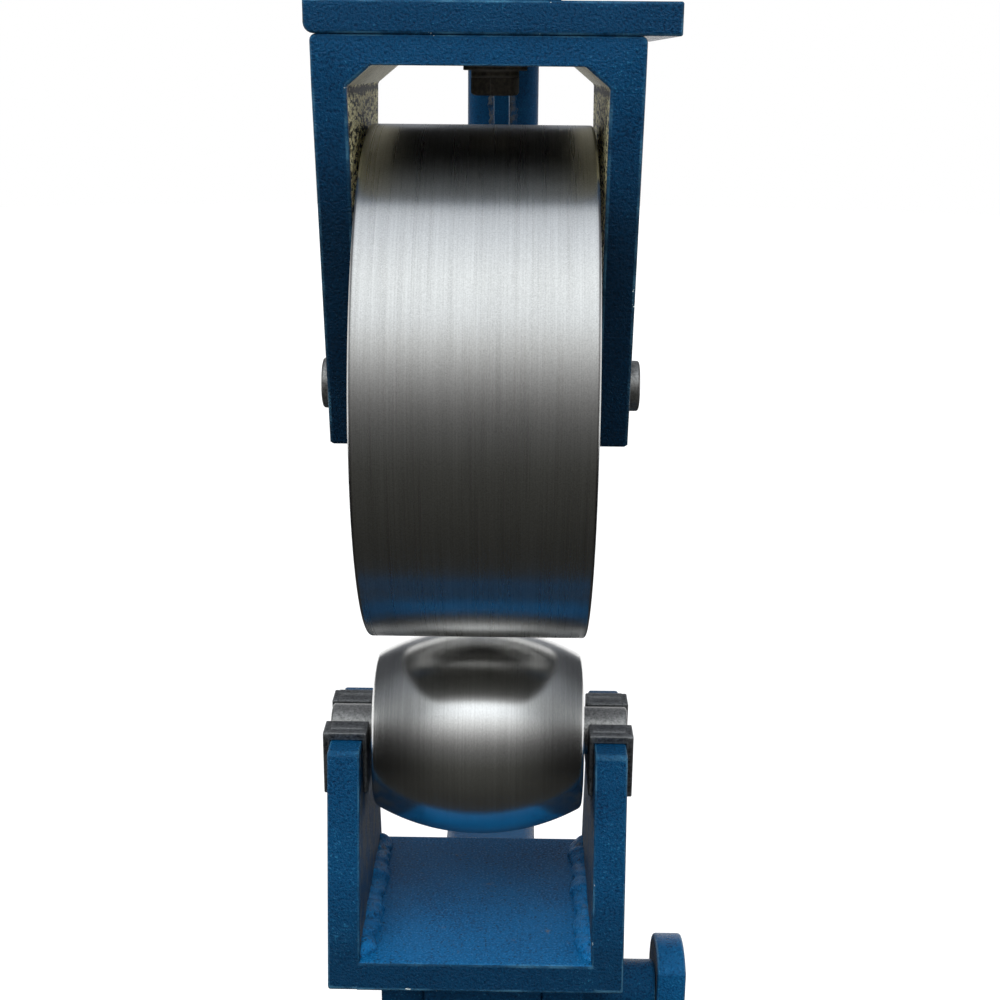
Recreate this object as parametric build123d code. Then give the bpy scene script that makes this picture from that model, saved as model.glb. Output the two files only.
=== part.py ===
from build123d import *
import math
import os

# Floor-standing english wheel, in millimetres.
# The origin is on the floor straight below the two wheels.
# X runs along the wheel axles, Y runs back into the throat, Z is up.

# Upper wheel
axle_height = 1200.0
upper_wheel_diameter = 200.0
upper_wheel_width = 84.0
wheel_edge_round = 1.2
upper_hub_diameter = 66.0
upper_rim_thickness = 16.0
upper_recess_depth = 6.0
axle_diameter = 20.0
running_clearance = 0.05
fit_clearance = 0.1

# Ball bearings of both wheels
bearing_diameter = 47.0
bearing_width = 14.0
wheel_core_bore = 26.0

# Fork that carries the upper wheel
fork_side_gap = 2.5
fork_leg_thickness = 12.0
fork_top_thickness = 10.0
fork_headroom = 21.3
fork_depth = 120.0
fork_foot_depth = 64.0
fork_leg_below_axle = 17.0
fork_weld_width = 8.5
fork_weld_height = 7.0
axle_overhang = 6.0

# Pad plate and the bolt that holds the fork to it
pad_width = 126.5
pad_depth = 122.0
pad_thickness = 11.0
pad_offset = 4.75
bolt_diameter = 10.0
bolt_head_flats = 16.5
bolt_head_height = 6.3
spring_washer_diameter = 18.0
spring_washer_thickness = 2.7
flat_washer_diameter = 24.0
flat_washer_thickness = 1.6

# Anvil wheel
anvil_crown_diameter = 87.0
anvil_edge_diameter = 64.4
anvil_width = 86.6
wheel_gap = 6.4

# Saddle blocks that hold the anvil axle
anvil_side_gap = 2.6
saddle_inner_flange = 1.9
saddle_outer_flange = 3.0
saddle_depth = 44.0
saddle_above_axle = 7.7
saddle_flange_drop = 27.6
saddle_core_drop = 24.0
anvil_axle_end_inset = 1.5

# Yoke
yoke_side_thickness = 13.2
yoke_notch_width = 35.0
yoke_ear_below_saddle = 3.5
yoke_ear_depth = 66.0
yoke_base_front = 50.0
yoke_base_back = 59.0
yoke_base_thickness = 12.0
anvil_floor_gap = 40.1
yoke_weld_leg = 8.0
yoke_weld_end_inset = 3.0

# Release shaft, cam and lever
release_offset = 2.5
release_shaft_diameter = 24.0
release_shaft_below_base = 30.6
release_drop = 6.0
release_turn_degrees = 90.0
cam_width = 16.0
cam_back_radius = 14.0
cam_gap = 0.2
cam_side_clearance = 0.3
cam_pocket_clearance = 0.8
cam_extra_degrees = 8.0
cam_profile_points = 9
thrust_pad_height = 10.0
thrust_pad_depth = 30.0
lug_thickness = 18.6
lug_depth = 48.0
lever_inner_face = 79.0
lever_thickness = 12.4
lever_head_radius = 23.4
lever_bar_width = 32.0
lever_length = 190.0
lever_grip_length = 95.0
lever_grip_wall = 5.0

# Ram, its sleeve and the adjuster
ram_head_width = 50.4
ram_head_depth = 56.0
ram_head_below_shaft = 34.0
ram_head_top_clearance = 0.6
guide_pin_diameter = 10.0
guide_pin_length = 40.0
guide_pin_x = 17.0
guide_pin_y = 18.5
ram_width = 50.0
ram_clearance = 0.2
ram_travel = 60.0
ram_travel_spare = 10.0
ram_guided_length = 150.0
ram_corner_chamfer = 2.0
sleeve_wall = 10.0
sleeve_length = 220.0
nut_thickness = 30.0
nut_width = 56.0
screw_diameter = 30.0
screw_length = 350.0
kick_wheel_diameter = 300.0
kick_rim_diameter = 22.0
kick_hub_diameter = 60.0
kick_hub_height = 40.0
kick_spoke_diameter = 14.0
kick_spoke_count = 4
kick_hub_above_screw_end = 12.0

# Frame
throat_depth = 711.0
tube_width = 60.0
tube_depth = 150.0
tube_wall = 6.0
tube_inner_corner = 2.0
arm_front_overhang = 50.0
cap_thickness = 6.0
gusset_leg = 150.0
gusset_thickness = 12.0
base_height = 60.0
base_beam_width = 100.0
foot_length = 600.0
front_foot_depth = 80.0
front_foot_reach = 230.0
foot_tab_length = 60.0
foot_tab_thickness = 10.0
anchor_hole_diameter = 14.0
foot_gusset_leg = 180.0

# Places worked out from the sizes
upper_wheel_radius = upper_wheel_diameter / 2
axle_radius = axle_diameter / 2
fork_inner = upper_wheel_width / 2 + fork_side_gap
fork_outer = fork_inner + fork_leg_thickness
fork_top_underside = axle_height + upper_wheel_radius + fork_headroom
pad_underside = fork_top_underside + fork_top_thickness
arm_underside = pad_underside + pad_thickness
frame_top = arm_underside + tube_depth
contact_height = axle_height - upper_wheel_radius
anvil_axle_height = contact_height - wheel_gap - anvil_crown_diameter / 2
saddle_top = anvil_axle_height + saddle_above_axle
saddle_bottom = saddle_top - saddle_flange_drop
saddle_inner = anvil_width / 2 + anvil_side_gap
yoke_inner = saddle_inner + saddle_inner_flange
yoke_outer = yoke_inner + yoke_side_thickness
saddle_outer = yoke_outer + saddle_outer_flange
notch_floor = saddle_top - saddle_core_drop
ear_top = saddle_top - yoke_ear_below_saddle
yoke_base_top = anvil_axle_height - anvil_crown_diameter / 2 - anvil_floor_gap
yoke_base_underside = yoke_base_top - yoke_base_thickness
shaft_radius = release_shaft_diameter / 2
shaft_height = yoke_base_underside - release_shaft_below_base
cam_lift = release_shaft_below_base - thrust_pad_height - cam_gap
cam_rate = release_drop / math.radians(release_turn_degrees)
ram_head_top = yoke_base_underside - release_drop - ram_head_top_clearance
ram_head_bottom = shaft_height - ram_head_below_shaft
sleeve_top = ram_head_bottom - ram_travel - ram_travel_spare
sleeve_bottom = sleeve_top - sleeve_length
ram_bottom = sleeve_top - ram_guided_length
screw_bottom = ram_bottom - screw_length
sleeve_inner = ram_width / 2 + ram_clearance
sleeve_outer = sleeve_inner + sleeve_wall
column_back = throat_depth + tube_depth


def solid_box(x_range, y_range, z_range):
    """Box between named faces."""
    size = [high - low for low, high in (x_range, y_range, z_range)]
    middle = [(high + low) / 2 for low, high in (x_range, y_range, z_range)]
    return Pos(*middle) * Box(*size)


def bar_along_x(radius, x_start, x_end, y, z):
    """Round bar along X."""
    bar = Rot(0, 90, 0) * Cylinder(radius, x_end - x_start)
    return Pos((x_start + x_end) / 2, y, z) * bar


def plate_across_x(outline, x_start, x_end):
    """Plate whose outline is drawn in Y and Z, thick along X."""
    face = make_face(outline)
    plane = Plane(origin=(x_start, 0, 0), x_dir=(0, 1, 0), z_dir=(1, 0, 0))
    return extrude(plane * face, x_end - x_start)


def polygon(points):
    """Closed outline of straight lines."""
    return Polyline(*points, close=True)


def both_sides(x_start, x_end):
    """X ranges of a left and right pair of like pieces."""
    return {"left": (-x_end, -x_start), "right": (x_start, x_end)}


def turned_wheel(outline, bore_radius, half_width):
    """Wheel turned about X from a half outline, with its bore and bearing seats."""
    plane = Plane(origin=(0, 0, 0), x_dir=(1, 0, 0), z_dir=(0, -1, 0))
    wheel = revolve(plane * make_face(outline), Axis.X)
    wheel -= bar_along_x(bore_radius, -half_width, half_width, 0, 0)
    for side in (-1, 1):
        seat_inner = side * (half_width - bearing_width)
        seat_outer = side * half_width
        wheel -= bar_along_x(bearing_diameter / 2, min(seat_inner, seat_outer), max(seat_inner, seat_outer), 0, 0)
    return wheel


def bearing_pair(half_width, height):
    """Two ball bearings, flush with the faces of their wheel."""
    rings = []
    for side in (-1, 1):
        inner_end = side * (half_width - bearing_width)
        outer_end = side * half_width
        low = min(inner_end, outer_end)
        high = max(inner_end, outer_end)
        ring = bar_along_x(bearing_diameter / 2, low, high, 0, height)
        ring -= bar_along_x(axle_radius + running_clearance, low, high, 0, height)
        rings.append(ring)
    return Compound(children=rings)


def upper_wheel():
    """Flat-faced rolling wheel with a shallow turned recess in each side."""
    half = upper_wheel_width / 2
    floor = half - upper_recess_depth
    hub = upper_hub_diameter / 2
    rim = upper_wheel_radius - upper_rim_thickness
    outline = polygon([
        (-half, 0), (-half, hub), (-floor, hub), (-floor, rim), (-half, rim),
        (-half, upper_wheel_radius), (half, upper_wheel_radius),
        (half, rim), (floor, rim), (floor, hub), (half, hub), (half, 0),
    ])
    wheel = turned_wheel(outline, wheel_core_bore / 2, half)
    tread_edges = wheel.edges().filter_by(GeomType.CIRCLE)
    tread_edges = tread_edges.filter_by(lambda edge: abs(edge.radius - upper_wheel_radius) < running_clearance)
    wheel = fillet(tread_edges, wheel_edge_round)
    return Pos(0, 0, axle_height) * wheel


def anvil_wheel():
    """Lower wheel whose tread is crowned to a circular arc."""
    half = anvil_width / 2
    edge = anvil_edge_diameter / 2
    crown = anvil_crown_diameter / 2
    tread = ThreePointArc((-half, edge), (0, crown), (half, edge))
    sides = Polyline((half, edge), (half, 0), (-half, 0), (-half, edge))
    wheel = turned_wheel(tread + sides, wheel_core_bore / 2, half)
    tread_edges = wheel.edges().filter_by(GeomType.CIRCLE)
    tread_edges = tread_edges.filter_by(lambda rim: abs(rim.radius - edge) < running_clearance)
    wheel = fillet(tread_edges, wheel_edge_round)
    return Pos(0, 0, anvil_axle_height) * wheel


def fork_leg(side, x_range):
    """Tapered leg with the corner weld that joins it to the top plate."""
    top_half = fork_depth / 2
    foot_half = fork_foot_depth / 2
    foot = axle_height - fork_leg_below_axle
    outline = polygon([
        (-top_half, fork_top_underside), (top_half, fork_top_underside), (foot_half, foot), (-foot_half, foot),
    ])
    leg = plate_across_x(outline, *x_range)
    leg -= bar_along_x(axle_radius + running_clearance, *x_range, 0, axle_height)
    inward = 1 if side == "left" else -1
    corner = inward * -fork_inner
    weld_face = make_face(polygon([
        (corner, fork_top_underside),
        (corner + inward * fork_weld_width, fork_top_underside),
        (corner, fork_top_underside - fork_weld_height),
    ]))
    weld_plane = Plane(origin=(0, top_half, 0), x_dir=(1, 0, 0), z_dir=(0, -1, 0))
    weld = extrude(weld_plane * weld_face, fork_depth)
    taper = (top_half - foot_half) / (fork_top_underside - foot)
    weld_half = top_half - taper * fork_weld_height
    weld &= solid_box((-fork_inner, fork_inner), (-weld_half, weld_half), (foot, fork_top_underside))
    return leg + weld


def fork_top():
    """Top plate of the fork, with the bolt's hole."""
    plate = solid_box(
        (-fork_outer, fork_outer), (-fork_depth / 2, fork_depth / 2), (fork_top_underside, pad_underside)
    )
    hole = Pos(pad_offset, 0, pad_underside) * Cylinder(bolt_diameter / 2 + fit_clearance, fork_depth)
    return plate - hole


def fork_pad():
    """Pad plate welded under the upper arm, tapped for the fork's bolt."""
    left = pad_offset - pad_width / 2
    right = pad_offset + pad_width / 2
    pad = solid_box((left, right), (-pad_depth / 2, pad_depth / 2), (pad_underside, arm_underside))
    hole = Pos(pad_offset, 0, arm_underside) * Cylinder(bolt_diameter / 2, pad_depth)
    return pad - hole


def fork_bolt():
    """Hexagon bolt, from its head below the fork up into the arm."""
    head_top = fork_top_underside - flat_washer_thickness - spring_washer_thickness
    head_bottom = head_top - bolt_head_height
    hexagon = RegularPolygon(bolt_head_flats / 2, 6, major_radius=False)
    head = extrude(Pos(pad_offset, 0, head_bottom) * hexagon, bolt_head_height)
    shank_length = arm_underside - head_top
    shank = Pos(pad_offset, 0, head_top + shank_length / 2) * Cylinder(bolt_diameter / 2, shank_length)
    return head + shank


def fork_washers():
    """Flat washer against the fork and spring washer under it."""
    flat_middle = fork_top_underside - flat_washer_thickness / 2
    spring_middle = fork_top_underside - flat_washer_thickness - spring_washer_thickness / 2
    hole = Cylinder(bolt_diameter / 2 + fit_clearance, fork_headroom)
    flat = Pos(0, 0, flat_middle) * Cylinder(flat_washer_diameter / 2, flat_washer_thickness)
    spring = Pos(0, 0, spring_middle) * Cylinder(spring_washer_diameter / 2, spring_washer_thickness)
    return Pos(pad_offset, 0, 0) * (flat + spring - Pos(0, 0, flat_middle) * hole)


def saddle_block(side):
    """U-shaped block, grooved at its ends to sit astride the side plate."""
    block = solid_box((saddle_inner, saddle_outer), (-saddle_depth / 2, saddle_depth / 2), (saddle_bottom, saddle_top))
    plate = (yoke_inner, yoke_outer)
    notch_half = yoke_notch_width / 2
    for direction in (-1, 1):
        near = direction * notch_half
        far = direction * saddle_depth
        block -= solid_box(plate, (min(near, far), max(near, far)), (saddle_bottom, saddle_top))
    block -= solid_box(plate, (-notch_half, notch_half), (saddle_bottom, notch_floor))
    seat_radius = axle_radius + running_clearance
    block -= bar_along_x(seat_radius, saddle_inner, saddle_outer, 0, anvil_axle_height)
    block -= solid_box((saddle_inner, saddle_outer), (-seat_radius, seat_radius), (anvil_axle_height, saddle_top))
    return mirror(block, Plane.YZ) if side == "left" else block


def yoke_side(x_range):
    """Trapezoid side plate, notched for its saddle block."""
    ear_half = yoke_ear_depth / 2
    notch_half = yoke_notch_width / 2
    outline = polygon([
        (-yoke_base_front, yoke_base_underside), (yoke_base_back, yoke_base_underside), (ear_half, ear_top),
        (notch_half, ear_top), (notch_half, notch_floor), (-notch_half, notch_floor),
        (-notch_half, ear_top), (-ear_half, ear_top),
    ])
    return plate_across_x(outline, *x_range)


def yoke_base():
    """Floor plate of the yoke, between its side plates."""
    y_range = (-yoke_base_front, yoke_base_back)
    return solid_box((-yoke_inner, yoke_inner), y_range, (yoke_base_underside, yoke_base_top))


def yoke_welds():
    """Fillet welds along the two inside corners of the yoke."""
    end_inset = yoke_weld_end_inset + yoke_weld_leg
    front = -yoke_base_front + end_inset
    back = yoke_base_back - end_inset
    face = make_face(polygon([
        (yoke_inner, yoke_base_top), (yoke_inner - yoke_weld_leg, yoke_base_top),
        (yoke_inner, yoke_base_top + yoke_weld_leg),
    ]))
    plane = Plane(origin=(0, back, 0), x_dir=(1, 0, 0), z_dir=(0, -1, 0))
    right_weld = extrude(plane * face, back - front)
    return Compound(children=[right_weld, mirror(right_weld, Plane.YZ)])


def yoke_lug(direction):
    """Lug under the yoke, slotted so that it can drop past the release shaft."""
    near = release_offset + direction * (ram_head_width / 2 + fit_clearance)
    far = near + direction * lug_thickness
    low = min(near, far)
    high = max(near, far)
    half = lug_depth / 2
    lug = solid_box((low, high), (-half, half), (shaft_height, yoke_base_underside))
    lug += bar_along_x(half, low, high, 0, shaft_height)
    slot_radius = shaft_radius + fit_clearance
    lug -= bar_along_x(slot_radius, low, high, 0, shaft_height)
    lug -= bar_along_x(slot_radius, low, high, 0, shaft_height + release_drop)
    slot_range = (shaft_height, shaft_height + release_drop)
    lug -= solid_box((low, high), (-slot_radius, slot_radius), slot_range)
    return lug


def thrust_pad():
    """Hardened pad under the yoke that rides on the cam."""
    x_range = (release_offset - cam_width / 2, release_offset + cam_width / 2)
    y_range = (-thrust_pad_depth / 2, thrust_pad_depth / 2)
    return solid_box(x_range, y_range, (yoke_base_underside - thrust_pad_height, yoke_base_underside))


def guide_pin_places():
    """Centres of the two guide pins, on a diagonal."""
    return [(release_offset + sign * guide_pin_x, sign * guide_pin_y) for sign in (-1, 1)]


def guide_pins():
    """Pins that keep the yoke square on the ram head."""
    middle = yoke_base_underside - guide_pin_length / 2
    pins = [Pos(x, y, middle) * Cylinder(guide_pin_diameter / 2, guide_pin_length) for x, y in guide_pin_places()]
    return Compound(children=pins)


def release_cam():
    """Cam whose lift falls evenly with the turn: an involute of a small circle."""
    start = math.radians(-cam_extra_degrees)
    end = math.radians(release_turn_degrees + cam_extra_degrees)
    points = []
    for index in range(cam_profile_points):
        turn = start + (end - start) * index / (cam_profile_points - 1)
        lift = cam_lift - cam_rate * turn
        y = -lift * math.sin(turn) + cam_rate * math.cos(turn)
        z = lift * math.cos(turn) + cam_rate * math.sin(turn)
        points.append((y, z))
    diagonal = cam_back_radius * math.sqrt(0.5)
    working = Spline(*points)
    under = ThreePointArc(points[-1], (-diagonal, -diagonal), (0, -cam_back_radius))
    heel = ThreePointArc((0, -cam_back_radius), (diagonal, -diagonal), (cam_back_radius, 0))
    rise = Line((cam_back_radius, 0), points[0])
    low = release_offset - cam_width / 2
    high = release_offset + cam_width / 2
    cam = plate_across_x(working + under + heel + rise, low, high)
    cam -= bar_along_x(shaft_radius, low, high, 0, 0)
    return Pos(0, 0, shaft_height) * cam


def release_shaft():
    """Shaft through the lugs and ram head, out to the lever."""
    left_end = release_offset - ram_head_width / 2 - fit_clearance - lug_thickness
    return bar_along_x(shaft_radius, left_end, lever_inner_face, 0, shaft_height)


def lever_outer_face():
    """X of the lever's outside face."""
    return lever_inner_face + lever_thickness


def release_lever():
    """Flat bar with a round head, its front edge cut straight."""
    x_range = (lever_inner_face, lever_outer_face())
    half = lever_bar_width / 2
    bar_bottom = shaft_height - lever_length
    lever = bar_along_x(lever_head_radius, *x_range, 0, shaft_height)
    lever += solid_box(x_range, (-half, half), (bar_bottom, shaft_height))
    front = (-2 * lever_head_radius, -half)
    return lever - solid_box(x_range, front, (bar_bottom, shaft_height + lever_head_radius))


def lever_grip():
    """Moulded sleeve over the lower end of the lever."""
    half = lever_bar_width / 2
    bottom = shaft_height - lever_length
    top = bottom + lever_grip_length
    x_range = (lever_inner_face - lever_grip_wall, lever_outer_face() + lever_grip_wall)
    grip = solid_box(x_range, (-half - lever_grip_wall, half + lever_grip_wall), (bottom - lever_grip_wall, top))
    grip = fillet(grip.edges().filter_by(Axis.Z), lever_grip_wall)
    return grip - solid_box((lever_inner_face, lever_outer_face()), (-half, half), (bottom, top))


def ram_head():
    """Block on top of the ram: shaft bore, cam pocket and guide pin holes."""
    half_width = ram_head_width / 2
    half_depth = ram_head_depth / 2
    x_range = (release_offset - half_width, release_offset + half_width)
    head = solid_box(x_range, (-half_depth, half_depth), (ram_head_bottom, ram_head_top))
    head -= bar_along_x(shaft_radius + running_clearance, *x_range, 0, shaft_height)
    pocket_half = cam_width / 2 + cam_side_clearance
    cam_reach = math.hypot(cam_lift + cam_rate * math.radians(cam_extra_degrees), cam_rate)
    pocket_depth = cam_reach + cam_pocket_clearance
    pocket_floor = shaft_height - cam_back_radius - cam_pocket_clearance
    pocket_x = (release_offset - pocket_half, release_offset + pocket_half)
    head -= solid_box(pocket_x, (-pocket_depth, pocket_depth), (pocket_floor, ram_head_top))
    hole_height = ram_head_top - ram_head_bottom
    for x, y in guide_pin_places():
        hole = Cylinder(guide_pin_diameter / 2 + fit_clearance, hole_height)
        head -= Pos(x, y, (ram_head_top + ram_head_bottom) / 2) * hole
    return head


def ram():
    """Square bar that slides in the sleeve."""
    half = ram_width / 2
    bar = solid_box((-half, half), (-half, half), (ram_bottom, ram_head_bottom))
    return chamfer(bar.edges().filter_by(Axis.Z), ram_corner_chamfer)


def ram_sleeve():
    """Square guide at the end of the lower arm."""
    outer = (-sleeve_outer, sleeve_outer)
    inner = (-sleeve_inner, sleeve_inner)
    height = (sleeve_bottom, sleeve_top)
    return solid_box(outer, outer, height) - solid_box(inner, inner, height)


def adjuster_nut():
    """Square nut closing the sleeve's lower end."""
    bottom = sleeve_bottom - nut_thickness
    half = nut_width / 2
    nut = solid_box((-sleeve_outer, sleeve_outer), (-sleeve_outer, sleeve_outer), (bottom, sleeve_bottom))
    nut = chamfer(nut.edges().filter_by(Axis.Z), sleeve_outer - half)
    hole = Pos(0, 0, bottom + nut_thickness / 2) * Cylinder(screw_diameter / 2 + running_clearance, nut_thickness)
    return nut - hole


def adjuster_screw():
    """Screw under the ram, down to the kick wheel."""
    return Pos(0, 0, ram_bottom - screw_length / 2) * Cylinder(screw_diameter / 2, screw_length)


def kick_wheel():
    """Ring on four spokes that turns the screw."""
    ring_radius = (kick_wheel_diameter - kick_rim_diameter) / 2
    height = screw_bottom + kick_hub_above_screw_end + kick_hub_height / 2
    spoke_start = (screw_diameter + kick_hub_diameter) / 4
    spoke_step = 360 / kick_spoke_count
    wheel = Rot(0, 0, spoke_step / 2) * Torus(ring_radius, kick_rim_diameter / 2)
    hub = Cylinder(kick_hub_diameter / 2, kick_hub_height) - Cylinder(screw_diameter / 2, kick_hub_height)
    for index in range(kick_spoke_count):
        spoke = bar_along_x(kick_spoke_diameter / 2, spoke_start, ring_radius, 0, 0)
        wheel += Rot(0, 0, spoke_step * index) * spoke
    wheel += hub
    return Pos(0, 0, height) * wheel


def tube(x_range, y_range, z_range, along):
    """Rectangular tube along one axis, with round corners and open ends."""
    outer = solid_box(x_range, y_range, z_range)
    outer = fillet(outer.edges().filter_by(along), tube_inner_corner + tube_wall)
    inner_ranges = []
    for (low, high), along_share in zip((x_range, y_range, z_range), along.direction):
        inset = tube_wall * (1 - along_share)
        inner_ranges.append((low + inset, high - inset))
    inner = solid_box(*inner_ranges)
    inner = fillet(inner.edges().filter_by(along), tube_inner_corner)
    return outer - inner


def gusset(corner_y, corner_z, along_z):
    """Triangular plate in a corner between an arm and the column."""
    outline = polygon([
        (corner_y, corner_z), (corner_y - gusset_leg, corner_z), (corner_y, corner_z + along_z * gusset_leg),
    ])
    return plate_across_x(outline, -gusset_thickness / 2, gusset_thickness / 2)


def foot_gussets():
    """Two triangular plates between the column and the rear foot."""
    side = tube_width / 2
    face = make_face(polygon([
        (side, base_height), (side + foot_gusset_leg, base_height), (side, base_height + foot_gusset_leg),
    ]))
    middle = throat_depth + tube_depth / 2
    plane = Plane(origin=(0, middle + gusset_thickness / 2, 0), x_dir=(1, 0, 0), z_dir=(0, -1, 0))
    right_gusset = extrude(plane * face, gusset_thickness)
    return Compound(children=[right_gusset, mirror(right_gusset, Plane.YZ)])


def foot(y_range):
    """Box section across the base, open at its ends."""
    half = foot_length / 2
    front, back = y_range
    outer = solid_box((-half, half), y_range, (0, base_height))
    inner_y = (front + tube_wall, back - tube_wall)
    return outer - solid_box((-half, half), inner_y, (tube_wall, base_height - tube_wall))


def foot_ends(y_range):
    """Two angle plates that close a foot's ends, each with a tab and its anchor hole."""
    half = foot_length / 2
    upright = solid_box((half, half + cap_thickness), y_range, (0, base_height))
    tab = solid_box((half, half + foot_tab_length), y_range, (0, foot_tab_thickness))
    hole_place = Pos(half + foot_tab_length / 2, sum(y_range) / 2, 0)
    right_end = upright + tab - hole_place * Cylinder(anchor_hole_diameter / 2, base_height)
    return Compound(children=[right_end, mirror(right_end, Plane.YZ)])


def frame_pieces():
    """Pieces of the fixed frame, by name."""
    half = tube_width / 2
    column_y = (throat_depth, column_back)
    front_foot_y = (-front_foot_reach, front_foot_depth - front_foot_reach)
    beam_x = (-base_beam_width / 2, base_beam_width / 2)
    pieces = {
        "base_beam": tube(beam_x, (front_foot_y[1], throat_depth), (0, base_height), Axis.Y),
        "front_foot": foot(front_foot_y),
        "front_foot_ends": foot_ends(front_foot_y),
        "rear_foot": foot(column_y),
        "rear_foot_ends": foot_ends(column_y),
        "column": tube((-half, half), column_y, (base_height, frame_top), Axis.Z),
        "column_cap": solid_box((-half, half), column_y, (frame_top, frame_top + cap_thickness)),
        "upper_arm": tube((-half, half), (-arm_front_overhang, throat_depth), (arm_underside, frame_top), Axis.Y),
        "upper_arm_cap": solid_box(
            (-half, half), (-arm_front_overhang - cap_thickness, -arm_front_overhang), (arm_underside, frame_top)
        ),
        "lower_arm": tube((-half, half), (sleeve_outer, throat_depth), (sleeve_top - tube_depth, sleeve_top), Axis.Y),
        "upper_gusset": gusset(throat_depth, arm_underside, -1),
        "lower_gusset": gusset(throat_depth, sleeve_top, 1),
        "foot_gussets": foot_gussets(),
        "fork_pad": fork_pad(),
        "fork_top": fork_top(),
        "fork_bolt": fork_bolt(),
        "fork_washers": fork_washers(),
        "ram_sleeve": ram_sleeve(),
        "adjuster_nut": adjuster_nut(),
    }
    axle_end = fork_outer + axle_overhang
    pieces["upper_axle"] = bar_along_x(axle_radius, -axle_end, axle_end, 0, axle_height)
    for side, x_range in both_sides(fork_inner, fork_outer).items():
        pieces["fork_leg_" + side] = fork_leg(side, x_range)
    return pieces


def yoke_pieces():
    """Pieces that drop together when the lever is released, by name."""
    axle_end = saddle_outer - anvil_axle_end_inset
    pieces = {
        "yoke_base": yoke_base(),
        "thrust_pad": thrust_pad(),
        "guide_pins": guide_pins(),
        "yoke_welds": yoke_welds(),
        "yoke_lug_left": yoke_lug(-1),
        "yoke_lug_right": yoke_lug(1),
        "anvil_axle": bar_along_x(axle_radius, -axle_end, axle_end, 0, anvil_axle_height),
    }
    for side, x_range in both_sides(yoke_inner, yoke_outer).items():
        pieces["yoke_side_" + side] = yoke_side(x_range)
        pieces["saddle_block_" + side] = saddle_block(side)
    return pieces


def moving_pieces():
    """Wheels, ram and release lever, by name."""
    return {
        "upper_wheel": upper_wheel(),
        "upper_bearings": bearing_pair(upper_wheel_width / 2, axle_height),
        "anvil_wheel": anvil_wheel(),
        "anvil_bearings": bearing_pair(anvil_width / 2, anvil_axle_height),
        "ram_head": ram_head(),
        "ram": ram(),
        "adjuster_screw": adjuster_screw(),
        "kick_wheel": kick_wheel(),
        "release_shaft": release_shaft(),
        "release_cam": release_cam(),
        "release_lever": release_lever(),
        "lever_grip": lever_grip(),
    }


os.makedirs("parts", exist_ok=True)
for name, piece in {**frame_pieces(), **yoke_pieces(), **moving_pieces()}.items():
    export_step(piece, "parts/" + name + ".step")
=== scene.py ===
import math

import bpy
import numpy as np
from mathutils import Matrix, Vector


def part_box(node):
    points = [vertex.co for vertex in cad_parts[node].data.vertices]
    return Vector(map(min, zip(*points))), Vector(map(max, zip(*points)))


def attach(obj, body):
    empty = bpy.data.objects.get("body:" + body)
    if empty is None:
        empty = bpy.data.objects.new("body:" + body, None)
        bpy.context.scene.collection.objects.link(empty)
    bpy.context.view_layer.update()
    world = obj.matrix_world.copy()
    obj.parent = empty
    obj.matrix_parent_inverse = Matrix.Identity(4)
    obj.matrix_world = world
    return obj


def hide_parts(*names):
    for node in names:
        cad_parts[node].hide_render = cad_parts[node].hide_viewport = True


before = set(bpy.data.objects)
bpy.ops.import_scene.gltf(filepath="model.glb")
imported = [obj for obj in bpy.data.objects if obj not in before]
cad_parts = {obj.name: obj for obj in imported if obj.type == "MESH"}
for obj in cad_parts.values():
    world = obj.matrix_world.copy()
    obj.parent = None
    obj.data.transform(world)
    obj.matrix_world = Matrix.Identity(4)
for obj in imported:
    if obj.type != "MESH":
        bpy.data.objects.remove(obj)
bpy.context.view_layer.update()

# Camera
# It stands close in front of the wheels and a little above them, and looks slightly down.
camera_place = (0.01397, -0.56942, 1.32214)
camera_turn = math.radians(-0.608)
camera_dip = math.radians(16.629)
camera_roll = math.radians(0.508)
camera_lens_mm = 52.6
forward = Vector((
    math.sin(camera_turn) * math.cos(camera_dip),
    math.cos(camera_turn) * math.cos(camera_dip),
    -math.sin(camera_dip),
))
level_right = Vector((math.cos(camera_turn), -math.sin(camera_turn), 0))
level_up = level_right.cross(forward)
camera_right = level_right * math.cos(camera_roll) + level_up * math.sin(camera_roll)
camera_up = level_up * math.cos(camera_roll) - level_right * math.sin(camera_roll)
camera_data = bpy.data.cameras.new("camera")
camera_data.lens = camera_lens_mm
camera_data.clip_start = 0.02
camera = bpy.data.objects.new("camera", camera_data)
camera_axes = Matrix((camera_right, camera_up, -forward)).transposed().to_4x4()
camera.matrix_world = Matrix.Translation(camera_place) @ camera_axes
bpy.context.scene.collection.objects.link(camera)
bpy.context.scene.camera = camera
bpy.context.scene.view_settings.view_transform = "Standard"


# Studio
# A pale floor that runs out to white, a large soft lamp overhead and weaker ones at the side and back.
# A sweep round the machine, dark below and pale overhead, shows only in what metal and paint reflect,
# in place of the lamps.
def fill_inputs(tree, node, inputs):
    """Links or sets a node's inputs by name or number."""
    for name, value in inputs.items():
        if isinstance(value, bpy.types.NodeSocket):
            tree.links.new(value, node.inputs[name])
        else:
            node.inputs[name].default_value = value


def add_node(tree, kind, inputs=None, **settings):
    """Adds a node, sets its properties, then fills its inputs."""
    node = tree.nodes.new(kind)
    for name, value in settings.items():
        setattr(node, name, value)
    fill_inputs(tree, node, inputs or {})
    return node


def times(tree, first, second, operation="MULTIPLY"):
    """Product of two values, or another operation on them."""
    return add_node(tree, "ShaderNodeMath", {0: first, 1: second}, operation=operation).outputs[0]


def plus(tree, first, second):
    """Sum of two values."""
    return times(tree, first, second, "ADD")


def minus(tree, first, second):
    """First value less the second."""
    return times(tree, first, second, "SUBTRACT")


def size_of(tree, value):
    """Value without its sign."""
    return add_node(tree, "ShaderNodeMath", {0: value}, operation="ABSOLUTE").outputs[0]


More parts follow.
